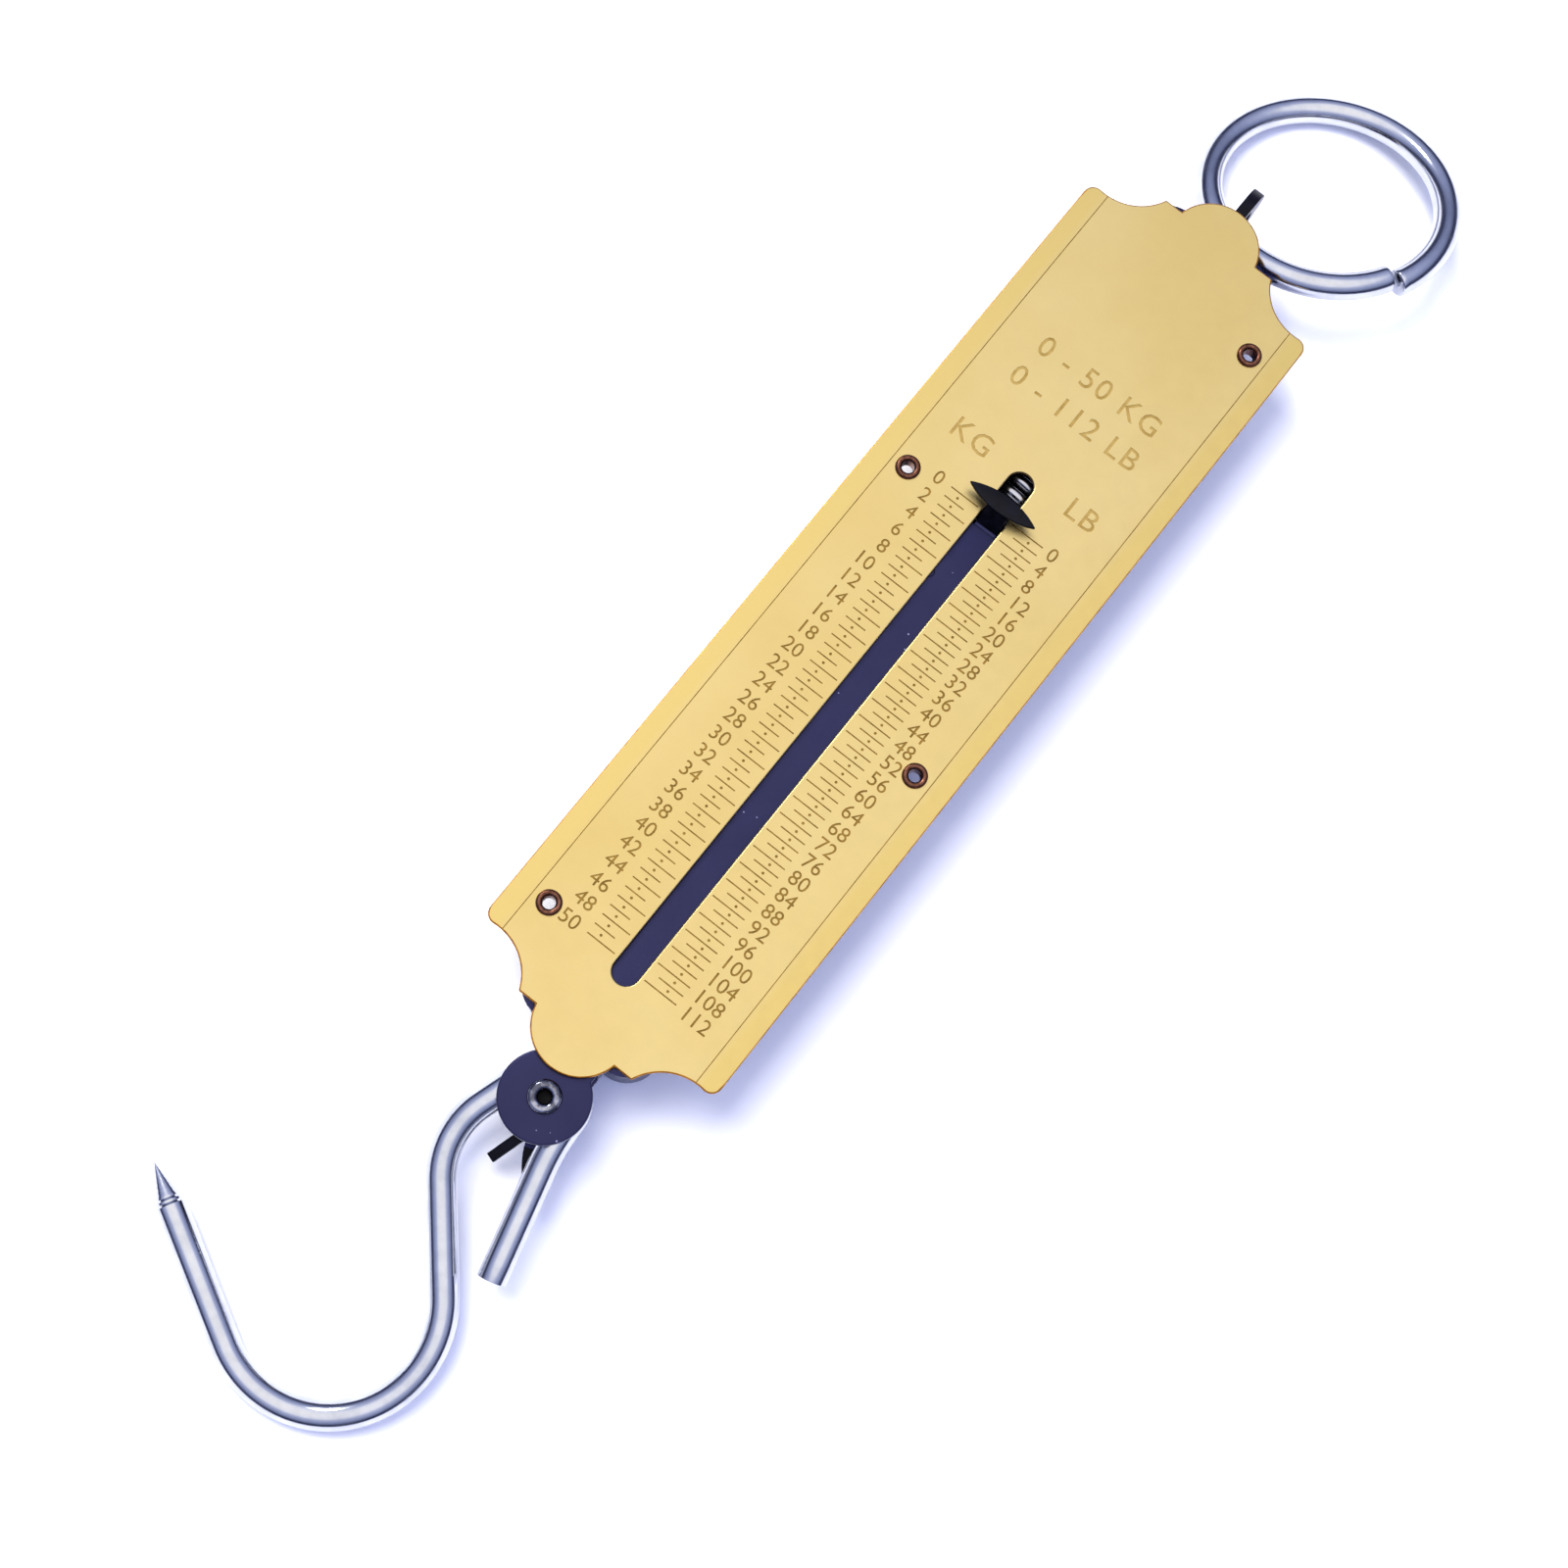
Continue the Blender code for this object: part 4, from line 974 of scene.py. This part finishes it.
# %% Map for the drawing lines
def map_wire(wire, path, radius, turn=None):
    """Stores how far along the wire and how far round it each point is, in millimetres."""
    lengths = [0.0]
    for here, there in zip(path, path[1:]):
        lengths.append(lengths[-1] + (there - here).length)
    stored = wire.data.attributes.new(WIRE_MAP, "FLOAT_VECTOR", "POINT")
    for i, point in enumerate(wire.data.vertices):
        nearest = min(range(len(path)), key=lambda k: (path[k] - point.co).length_squared)
        ahead = (path[min(nearest + 1, len(path) - 1)] - path[max(nearest - 1, 0)]).normalized()
        off = point.co - path[nearest]
        along = lengths[nearest] + off.dot(ahead)
        up = Vector((0, 0, 1))
        angle = math.atan2(off.dot(up), off.dot(ahead.cross(up)))
        round_it = (math.cos(angle) * radius / MM, math.sin(angle) * radius / MM)
        stored.data[i].vector = (along / MM, *round_it)


# %% [markdown]
# ## Suspension ring
# The ring is split: its two cut ends meet but stand a little beside each other. So it isn't a torus but
# an arc of the true radius with a slightly wider arc at one end and a slightly tighter one at the other.
# It is bent flat, about its own centre, and then laid in its place: over on the table, with its wire
# through the tab.

# %% Ring
ring_low, ring_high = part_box("suspension_ring")
RING_WIRE = 2.5 * MM
RING_RADIUS = 22.1 * MM
RING_TIP, RING_ROLL = math.radians(-13.925), math.radians(-12.5)
RING_CUT_AT = -23
RING_CUT = 1.0
RING_END_ARC = 60
RING_END_OFFSET = 0.8 * MM


# %% Bend the ring
def suspension_ring():
    ease = RING_END_OFFSET / (1 - math.cos(math.radians(RING_END_ARC)))
    start = RING_CUT_AT + RING_CUT
    first, last = start + RING_END_ARC, start + 360 - 2 * RING_CUT - RING_END_ARC
    begin, leave = math.radians(first), math.radians(last)
    outer_pin = Vector((math.cos(begin), math.sin(begin))) * -ease
    inner_pin = Vector((math.cos(leave), math.sin(leave))) * ease
    wide, tight = RING_RADIUS + ease, RING_RADIUS - ease
    wire = start_wire("split_ring", (wide, 0, 0), RING_WIRE)
    bpy.ops.transform.rotate(value=-math.radians(start), orient_axis="Z", center_override=(0, 0, 0))
    bpy.ops.transform.translate(value=(outer_pin.x, outer_pin.y, 0))
    bend(outer_pin, RING_END_ARC, 24)
    bend((0, 0), last - first, 96)
    bend(inner_pin, RING_END_ARC, 24)
    close_up(wire)
    path = [outer_pin + Vector(p) for p in arc((0, 0), wide, start, first, 24)]
    path += [Vector(p) for p in arc((0, 0), RING_RADIUS, first, last, 96)]
    path += [inner_pin + Vector(p) for p in arc((0, 0), tight, last, last + RING_END_ARC, 24)]
    map_wire(wire, [Vector((p.x, p.y, 0)) for p in path], RING_WIRE)
    break_edges(wire, 0.35 * MM, 3, 60)
    wire.rotation_euler = (RING_TIP, RING_ROLL, 0)
    only(wire)
    bpy.ops.object.transform_apply(rotation=True)
    corners = [point.co for point in wire.data.vertices]
    low = Vector([min(c[i] for c in corners) for i in range(3)])
    high = Vector([max(c[i] for c in corners) for i in range(3)])
    wire.location = (ring_low + ring_high - low - high) / 2
    return smooth(settle(wire), 40)


done(suspension_ring(), bright_steel, "ring", "bright_steel", "suspension_ring")

# %% [markdown]
# ## Load hook
# The hook is one wire: a short leg, a turn round the clevis for its eye, a straight shank, the wide bowl
# and a long leg ground to a point. It is bent flat, with its eye about the origin, from a list of
# straight runs and bends. The same list gives the line that its drawing marks follow. The point is ground
# with a few ring marks, which are real steps in the cone. Last the hook is tilted until its bowl rests on
# the table. A free curve could follow the shape by eye, but runs and bends can be measured and made
# again.

# %% Hook
rivet = middle_of("clevis_rivet")
HOOK_AXIS_Z = 13.35 * MM
HOOK_WIRE = 2.6 * MM
HOOK_TILT = math.radians(9.395)
HOOK_START = (11.46 * MM, -28.28 * MM)
HOOK_HEADING = 104.4
HOOK_BENDS = (
    (19.7 * MM, 37 * MM, -14.4, 8),
    (0, 5.4 * MM, 162, 56),
    (9.1 * MM, 14.5 * MM, 58.3, 24),
    (18.7 * MM, 18.6 * MM, -159.4, 64),
)
POINT_LEG = 24.5 * MM
POINT_LENGTH = 7.5 * MM
POINT_TIP = 0.08 * MM
GROUND_RINGS = 9
GROOVE = 0.05


def heading_of(degrees):
    """The unit vector of a heading."""
    return Vector((math.cos(math.radians(degrees)), math.sin(math.radians(degrees)), 0))


def grind_point(heading):
    """Draws the wire's end out into a cone, with a shallow groove for each grinding ring."""
    wide = 1.0
    for i in range(2 * GROUND_RINGS):
        share = (i + 1) / (2 * GROUND_RINGS)
        cone = max(1 - share, POINT_TIP / HOOK_WIRE)
        narrow = cone * (1 - GROOVE) if i % 2 == 0 and share < 0.95 else cone
        run_on(heading * POINT_LENGTH / (2 * GROUND_RINGS))
        size = narrow / wide
        bpy.ops.transform.resize(value=(size, size, size), center_override=selected_middle())
        wide = narrow


def selected_middle():
    """The middle of what is selected in edit mode."""
    piece = bpy.context.object
    piece.update_from_editmode()
    places = [point.co for point in piece.data.vertices if point.select]
    return sum(places, Vector()) / len(places)


# %% Bend the hook
def load_hook():
    heading = HOOK_HEADING
    wire = start_wire("hook_wire", (*HOOK_START, 0), HOOK_WIRE)
    aim = math.radians(heading - 90)
    bpy.ops.transform.rotate(value=-aim, orient_axis="Z", center_override=(*HOOK_START, 0))
    path = [Vector((*HOOK_START, 0))]

    def straight(length, pieces):
        first = path[-1]
        run_on(heading_of(heading) * length, pieces)
        path.extend(first + heading_of(heading) * length * (i + 1) / pieces for i in range(pieces))

    for run, radius, degrees, steps in HOOK_BENDS:
        if run:
            straight(run, 6)
        side = math.copysign(1, degrees)
        centre = path[-1] + heading_of(heading + 90) * side * radius
        spoke = path[-1] - centre
        bend((centre.x, centre.y), degrees, steps)
        for i in range(1, steps + 1):
            path.append(centre + Matrix.Rotation(math.radians(degrees) * i / steps, 3, "Z") @ spoke)
        heading += degrees
    straight(POINT_LEG, 8)
    grind_point(heading_of(heading))
    path.append(path[-1] + heading_of(heading) * POINT_LENGTH)
    close_up(wire)
    map_wire(wire, path, HOOK_WIRE)
    break_edges(wire, 0.4 * MM, 3, 60)
    wire.rotation_euler = (HOOK_TILT, 0, 0)
    wire.location = (rivet.x, rivet.y, HOOK_AXIS_Z)
    return smooth(settle(wire), 25)


done(load_hook(), bright_steel, "hook", "bright_steel", "load_hook")

# %% [markdown]
# ## Draw bar and pointer
# The bar is one strip of the same black steel. Its lower end is a round ear with the hook's rivet in it.
# At the top a narrow neck bends up through the slot, and its end is forged into the thin, lens-shaped
# pointer. The bar is a little askew in the tray, so it and all that it carries are drawn straight and
# then turned together. The blade could be a squashed cylinder, but two true arcs give it its sharp tips.

# %% Draw bar
DRAW_TURN = math.radians(1.09)
POINTER_Y = 25.5 * MM
RIVET_DROP = 127.4 * MM
BAR_THICK = 1.5 * MM
SLEEVE_GAP = 0.3 * MM
BAR_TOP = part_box("clevis_sleeve")[1].z + SLEEVE_GAP + BAR_THICK
BAR_BACK = BAR_TOP - BAR_THICK
BAR_HALF = 4.6 * MM
EAR_RADIUS = 7.85 * MM
EAR_BORE = 2.0 * MM
BEND_DROP = 3.9 * MM
NECK_HALF = 2.1 * MM
NECK_THICK = 1.2 * MM
POINTER_LENGTH = 14 * MM
POINTER_WIDTH = 3.5 * MM
POINTER_THICK = 0.9 * MM
POINTER_BACK = DIAL_FRONT + 2 * MM
SMALL_BORE = 1.0 * MM


def lay_in(piece):
    """Turns a piece drawn in the draw bar's own frame into its place."""
    piece.rotation_euler = (0, 0, DRAW_TURN)
    piece.location = (0, POINTER_Y, 0)
    return settle(piece)


def drilled(piece, place, radius, sides=64):
    """A round hole right through, along Z."""
    return combine(piece, rod("drill", (*place, 15 * MM), radius, 40 * MM, sides=sides))


def pointer_blade():
    """The lens between two arcs, with its crown rounded over."""
    sweep = 2 * math.atan(POINTER_WIDTH / POINTER_LENGTH)
    radius = POINTER_LENGTH / 2 / math.sin(sweep)
    rise = radius - POINTER_WIDTH / 2
    spread_by = math.degrees(sweep)
    upper = arc((0, -rise), radius, 90 - spread_by, 90 + spread_by, 32)
    lower = arc((0, rise), radius, 270 - spread_by, 270 + spread_by, 32)
    return push_up("blade", upper[:-1] + lower[:-1], POINTER_BACK, POINTER_BACK + POINTER_THICK)


# %% Neck
def neck():
    """The strip that rises from the bar to the pointer, as a side view pushed across."""
    half = NECK_THICK / 2
    low_z, high_z = BAR_TOP - half, POINTER_BACK + half / 2
    foot_y, bend_y, top_y = -BEND_DROP - 1.2 * MM, -BEND_DROP, -1.4 * MM
    rise = Vector((top_y - bend_y, high_z - low_z)).normalized()
    across = Vector((-rise.y, rise.x)) * half
    lift = half * 0.92
    side = [(foot_y, low_z - lift), (bend_y + half, low_z - lift), (top_y - across.x, high_z - across.y)]
    side += [(top_y + across.x, high_z + across.y), (bend_y, low_z + lift), (foot_y, low_z + lift)]
    return stand_up(push_up("neck", side, -NECK_HALF, NECK_HALF))


# %% Whole bar
def draw_bar():
    top = -BEND_DROP - 0.4 * MM
    reach = math.degrees(math.acos(BAR_HALF / EAR_RADIUS))
    outline = [(BAR_HALF, top), (-BAR_HALF, top)]
    outline += arc((0, -RIVET_DROP), EAR_RADIUS, 180 - reach, 360 + reach, 96)
    piece = push_up("draw_strip", outline, BAR_BACK, BAR_TOP)
    break_edges(piece, 0.3 * MM, 3, 50, held_in=False)
    combine(piece, neck(), "UNION")
    combine(piece, break_edges(pointer_blade(), 0.22 * MM, 3, 50, held_in=False), "UNION")
    drilled(piece, (0, -RIVET_DROP), EAR_BORE)
    for place in SMALL_RIVET_PLACES.values():
        drilled(piece, place, SMALL_BORE, 32)
    # The pointer blade and the top of the neck take the darker, duller black; on the steep neck it is
    # painted shade.
    two_finishes(piece, enamel, dull_black, lambda face: face.center.z > DIAL_FRONT + 0.6 * MM)
    return smooth(lay_in(piece), 30)


def straight_place(node):
    """A node's middle, measured in the draw bar's own frame."""
    place = middle_of(node) - Vector((0, POINTER_Y, 0))
    turned = Matrix.Rotation(-DRAW_TURN, 3, "Z") @ place
    return turned.x, turned.y


STRAP_RIVETS = ("strap_rivet_1", "strap_rivet_2")
LUG_RIVETS = ("lug_rivet_1", "lug_rivet_2")
SMALL_RIVET_PLACES = {name: straight_place(name) for name in STRAP_RIVETS + LUG_RIVETS}
done(draw_bar(), enamel, "draw", "black_enamel", "draw_bar")

# %% [markdown]
# ## Rear ear
# Behind the bar a second strip is riveted on, steps back, and ends in the clevis's rear ear. Two prongs
# stick out past that ear and keep the hook from swinging up against it: a straight one with a square end,
# and one that curves away to the right. All the bends of the strip show in one side view, so it is that
# view pushed across. The prongs are blocks cut into short lengths, so that one can curve, and they take
# the darker, duller black as painted shade.

# %% Rear ear
CLEVIS_GAP = 8.1 * MM
REAR_TOP = BAR_BACK - CLEVIS_GAP
REAR_BACK = REAR_TOP - BAR_THICK
REAR_RADIUS = 7 * MM
WEB_Y = -RIVET_DROP + 8.3 * MM
STRAP_FOOT = 13 * MM
SEAT_GAP = 0.3 * MM
PRONG_HALF = 0.9 * MM
PRONG_DROOP = math.radians(22)
PRONG_THICK = 1.2 * MM


def strap():
    """The stepped strip, as a side view pushed across."""
    foot_top = BAR_BACK - SEAT_GAP
    inset = 0.05 * MM
    side = [
        (-RIVET_DROP, REAR_BACK + inset),
        (WEB_Y + BAR_THICK, REAR_BACK + inset),
        (WEB_Y + BAR_THICK, foot_top - BAR_THICK),
        (WEB_Y + STRAP_FOOT, foot_top - BAR_THICK),
        (WEB_Y + STRAP_FOOT, foot_top),
        (WEB_Y, foot_top),
        (WEB_Y, REAR_TOP - inset),
        (-RIVET_DROP, REAR_TOP - inset),
    ]
    return stand_up(push_up("rear_strap", side, -BAR_HALF, BAR_HALF))


# %% Prongs and ear
def prong(side, turn):
    """A little bar that leaves the ear's edge, drooping. turn bends its far half outwards, in degrees."""
    steps = 6
    length = 7 * MM
    piece = block("prong", (-PRONG_HALF, -length, -PRONG_THICK), (PRONG_HALF, 2 * MM, 0))
    only(piece)
    bpy.ops.object.mode_set(mode="EDIT")
    bpy.ops.mesh.select_all(action="SELECT")
    for i in range(1, steps):
        bpy.ops.mesh.select_all(action="SELECT")
        bpy.ops.mesh.bisect(plane_co=(0, -length * i / steps, 0), plane_no=(0, 1, 0))
    bpy.ops.object.mode_set(mode="OBJECT")
    for point in piece.data.vertices:
        out = max(0.0, -point.co.y) / length
        point.co.x += side * math.tan(math.radians(turn)) * out * out * length / 2
    root = (1.2 * MM + side * 0.9 * MM, -RIVET_DROP - REAR_RADIUS + 0.6 * MM, REAR_TOP - 0.12 * MM)
    splay = Matrix.Rotation(side * math.radians(19), 4, "Z") @ Matrix.Rotation(PRONG_DROOP, 4, "X")
    piece.matrix_world = Matrix.Translation(root) @ splay
    return settle(piece)


def rear_ear():
    piece = strap()
    thick = REAR_TOP - REAR_BACK
    combine(piece, rod("disc", (0, -RIVET_DROP, REAR_BACK + thick / 2), REAR_RADIUS, thick), "UNION")
    combine(piece, prong(-1, 0), "UNION")
    combine(piece, prong(1, 24), "UNION")
    drilled(piece, (0, -RIVET_DROP), EAR_BORE)
    for name in STRAP_RIVETS:
        drilled(piece, SMALL_RIVET_PLACES[name], SMALL_BORE, 32)
    break_edges(piece, 0.18 * MM, 3, 35)
    # The prongs take the darker, duller black as painted shade.
    two_finishes(piece, enamel, dull_black, lambda face: face.center.y < -RIVET_DROP - REAR_RADIUS)
    return smooth(lay_in(piece), 30)


done(rear_ear(), enamel, "draw", "black_enamel", "rear_ear")

# %% [markdown]
# ## Spring lug
# The lug is a small bracket behind the bar: a flat foot with two rivets, and a round-ended web with the
# hole that the spring hooks into. It could be folded from a plate, but a block and an upright web,
# joined, come to the same shape.

# %% Lug
lug_low, lug_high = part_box("spring_lug")
LUG_HALF = 3.3 * MM
LUG_HALF_THICK = 1 * MM
LUG_HOLE_DROP = 10 * MM
LUG_FOOT_THICK = 1.2 * MM
LUG_FOOT_TOP = -BEND_DROP - 2 * MM
LUG_FOOT_LENGTH = 13 * MM
SPRING_Z = 9.2 * MM


def spring_lug():
    foot_high = BAR_BACK - SEAT_GAP
    foot_low = foot_high - LUG_FOOT_THICK
    low_corner = (-BAR_HALF, LUG_FOOT_TOP - LUG_FOOT_LENGTH, foot_low)
    piece = block("lug_bracket", low_corner, (BAR_HALF, LUG_FOOT_TOP, foot_high))
    outline = arc((-LUG_HOLE_DROP, SPRING_Z), LUG_HALF, 180, 360, 40)
    near = foot_high - MM / 2
    outline += [(-LUG_HOLE_DROP + LUG_HALF, near), (-LUG_HOLE_DROP - LUG_HALF, near)]
    combine(piece, stand_up(push_up("web", outline, -LUG_HALF_THICK, LUG_HALF_THICK)), "UNION")
    eye = rod("eye", (0, -LUG_HOLE_DROP, SPRING_Z), SPRING_HOLE, 6 * MM, ALONG_X, 48)
    combine(piece, eye)
    for name in LUG_RIVETS:
        drilled(piece, SMALL_RIVET_PLACES[name], SMALL_BORE, 32)
    break_edges(piece, 0.15 * MM, 2, 35)
    return smooth(lay_in(piece), 30)


done(spring_lug(), enamel, "draw", "black_enamel", "spring_lug")

# %% [markdown]
# ## Rivets and sleeve
# The hook's rivet is a tube whose front end is rolled over into a lip round its open bore, and whose back
# is closed. A plain sleeve turns on it, and the hook's eye sits on the sleeve. The four small rivets are
# filed flush with the bar's front. All of them are lathe work. A cylinder could be bored with a Boolean,
# but a profile also rolls the lip. The bore takes the darker, duller black, painted shade in the hollow.

# %% Rivets and sleeve
RIVET_SHANK = 1.88 * MM
RIVET_HEAD = 2.9 * MM
RIVET_BORE = 1.15 * MM
BORE_FLOOR = BAR_BACK - 2 * MM
SMALL_SHANK = 0.9 * MM
SMALL_HEAD = 1.5 * MM


def in_bore(face):
    """The walls and the floor of the rivet's open bore."""
    out = math.hypot(face.center.x - rivet.x, face.center.y - rivet.y)
    return out < RIVET_BORE and face.center.z > BORE_FLOOR - 0.1 * MM


def clevis_rivet():
    low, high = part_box("clevis_rivet")
    front, back = BAR_TOP + 0.1 * MM, REAR_BACK - 0.1 * MM
    crown = half_ring(RIVET_BORE, RIVET_HEAD, front + 0.25 * MM, high.z - front - 0.25 * MM, True, 16)
    profile = [(0, low.z), (RIVET_HEAD - 0.6 * MM, low.z), (RIVET_HEAD - 0.15 * MM, low.z + 0.25 * MM)]
    profile += [(RIVET_HEAD, back - 0.4 * MM), (RIVET_HEAD, back), (RIVET_SHANK, back)]
    profile += [(RIVET_SHANK, front), (RIVET_HEAD, front)]
    profile += crown[::-1] + [(RIVET_BORE, BORE_FLOOR), (0, BORE_FLOOR)]
    piece = lathe("hollow_rivet", profile, (rivet.x, rivet.y, 0), 72)
    # The bore's walls and floor take the darker, duller black as painted shade.
    two_finishes(piece, black_nickel, dull_black, in_bore)
    return smooth(piece, 35)


# %% Sleeve and small rivets
def clevis_sleeve():
    low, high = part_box("clevis_sleeve")
    inner, outer = 2.0 * MM, (high.x - low.x) / 2
    ease = 0.15 * MM
    profile = [(inner, low.z), (outer - ease, low.z), (outer, low.z + ease), (outer, high.z - ease)]
    profile += [(outer - ease, high.z), (inner, high.z), (inner, low.z)]
    return smooth(lathe("turning_sleeve", profile, (rivet.x, rivet.y, 0), 64), 35)


def small_rivet(name, node):
    low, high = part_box(node)
    place = middle_of(node)
    back = low.z + 0.8 * MM
    profile = [(0, low.z)]
    for i in range(1, 7):
        lean = math.radians(90 * i / 6)
        profile.append((SMALL_HEAD * math.sin(lean), back - 0.8 * MM * math.cos(lean)))
    profile += [(SMALL_SHANK, back + 0.02 * MM), (SMALL_SHANK, high.z - 0.05 * MM)]
    profile += [(SMALL_SHANK - 0.05 * MM, high.z), (0, high.z)]
    return smooth(lathe(name, profile, (place.x, place.y, 0), 40), 35)


done(clevis_rivet(), black_nickel, "draw", "black_enamel", "clevis_rivet")
done(clevis_sleeve(), bright_steel, "sleeve", "bright_steel", "clevis_sleeve")
for node in SMALL_RIVET_PLACES:
    done(small_rivet(f"flush_{node}", node), enamel, "draw", "black_enamel", node)

# %% [markdown]
# ## Main spring
# The spring is an extension spring of round wire, wound evenly, with half a turn bent up at each end as a
# loop. Its lower loop hangs in the lug, which moves with the draw bar, and its upper loop in the tab,
# which stays with the case. Spin with a rise would wind it too, but a path of points lets the coils run
# into the loops without a kink.

# %% Spring
SPRING_WIRE = 1.15 * MM
SPRING_RADIUS = 6.6 * MM
SPRING_TURNS = 18
LOOP_BEND = 3 * MM
COIL_STEPS = 40


def spring_path():
    """The wire's middle line: a loop through the lug, the coils, and a loop through the tab."""
    low_y = POINTER_Y - LUG_HOLE_DROP + SPRING_RADIUS
    high_y = SPRING_HOLE_Y - SPRING_RADIUS
    start, end = low_y + LOOP_BEND, high_y - LOOP_BEND
    pitch = (end - start) / (SPRING_TURNS - LOOP_BEND / math.pi / SPRING_RADIUS)
    side = LOOP_BEND / SPRING_RADIUS

    def on_coil(angle, y):
        return Vector((SPRING_RADIUS * math.cos(angle), y, SPRING_Z + SPRING_RADIUS * math.sin(angle)))

    def loop(y, direction):
        turns = [math.radians(200) * i / 30 for i in range(31)]
        places = [(SPRING_RADIUS * math.cos(a), y + direction * SPRING_RADIUS * math.sin(a)) for a in turns]
        return [Vector((x, y, SPRING_Z)) for x, y in places]

    def corner(direction):
        """The bend between loop and coil, as (angle on the coil, distance along it)."""
        turns = [math.radians(90) * i / 8 for i in range(9)]
        return [(side * (1 - math.cos(a)), LOOP_BEND * math.sin(a) * direction) for a in turns]

    path = loop(low_y, -1)[::-1]
    path += [on_coil(angle, low_y + y) for angle, y in corner(1)][1:]
    sweep = 2 * math.pi * SPRING_TURNS - 2 * side
    count = COIL_STEPS * SPRING_TURNS
    for i in range(1, count):
        angle = side + sweep * i / count
        path.append(on_coil(angle, start + pitch * (angle - side) / (2 * math.pi)))
    path += [on_coil(-angle, high_y + y) for angle, y in corner(-1)[::-1]][:-1]
    return path + loop(high_y, 1)


# %% Wind the spring
def main_spring():
    """A curve with a round bevel, turned into a mesh with its drawing lines mapped."""
    path = spring_path()
    line = bpy.data.curves.new("spring_line", "CURVE")
    line.dimensions = "3D"
    line.bevel_depth = SPRING_WIRE
    line.bevel_resolution = 4
    line.use_fill_caps = True
    run = line.splines.new("POLY")
    run.points.add(len(path) - 1)
    for point, place in zip(run.points, path):
        point.co = (*place, 1)
    piece = bpy.data.objects.new("coiled_spring", line)
    bpy.context.scene.collection.objects.link(piece)
    only(piece)
    bpy.ops.object.convert(target="MESH")
    piece = bpy.context.object
    bpy.ops.object.mode_set(mode="EDIT")
    close_up(piece)
    stored = piece.data.attributes.new(WIRE_MAP, "FLOAT_VECTOR", "POINT")
    length = 0.0
    ring = 0
    sides = len(piece.data.vertices) // len(path)
    for i, point in enumerate(piece.data.vertices):
        if i // sides != ring and i // sides < len(path):
            length += (path[i // sides] - path[ring]).length
            ring = i // sides
        round_it = 2 * math.pi * (i % sides) / sides
        stored.data[i].vector = (length / MM, math.cos(round_it), math.sin(round_it))
    return smooth(piece, 40)


spring = main_spring()
spring.data.materials.append(spring_steel)
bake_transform(spring)
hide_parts("main_spring")
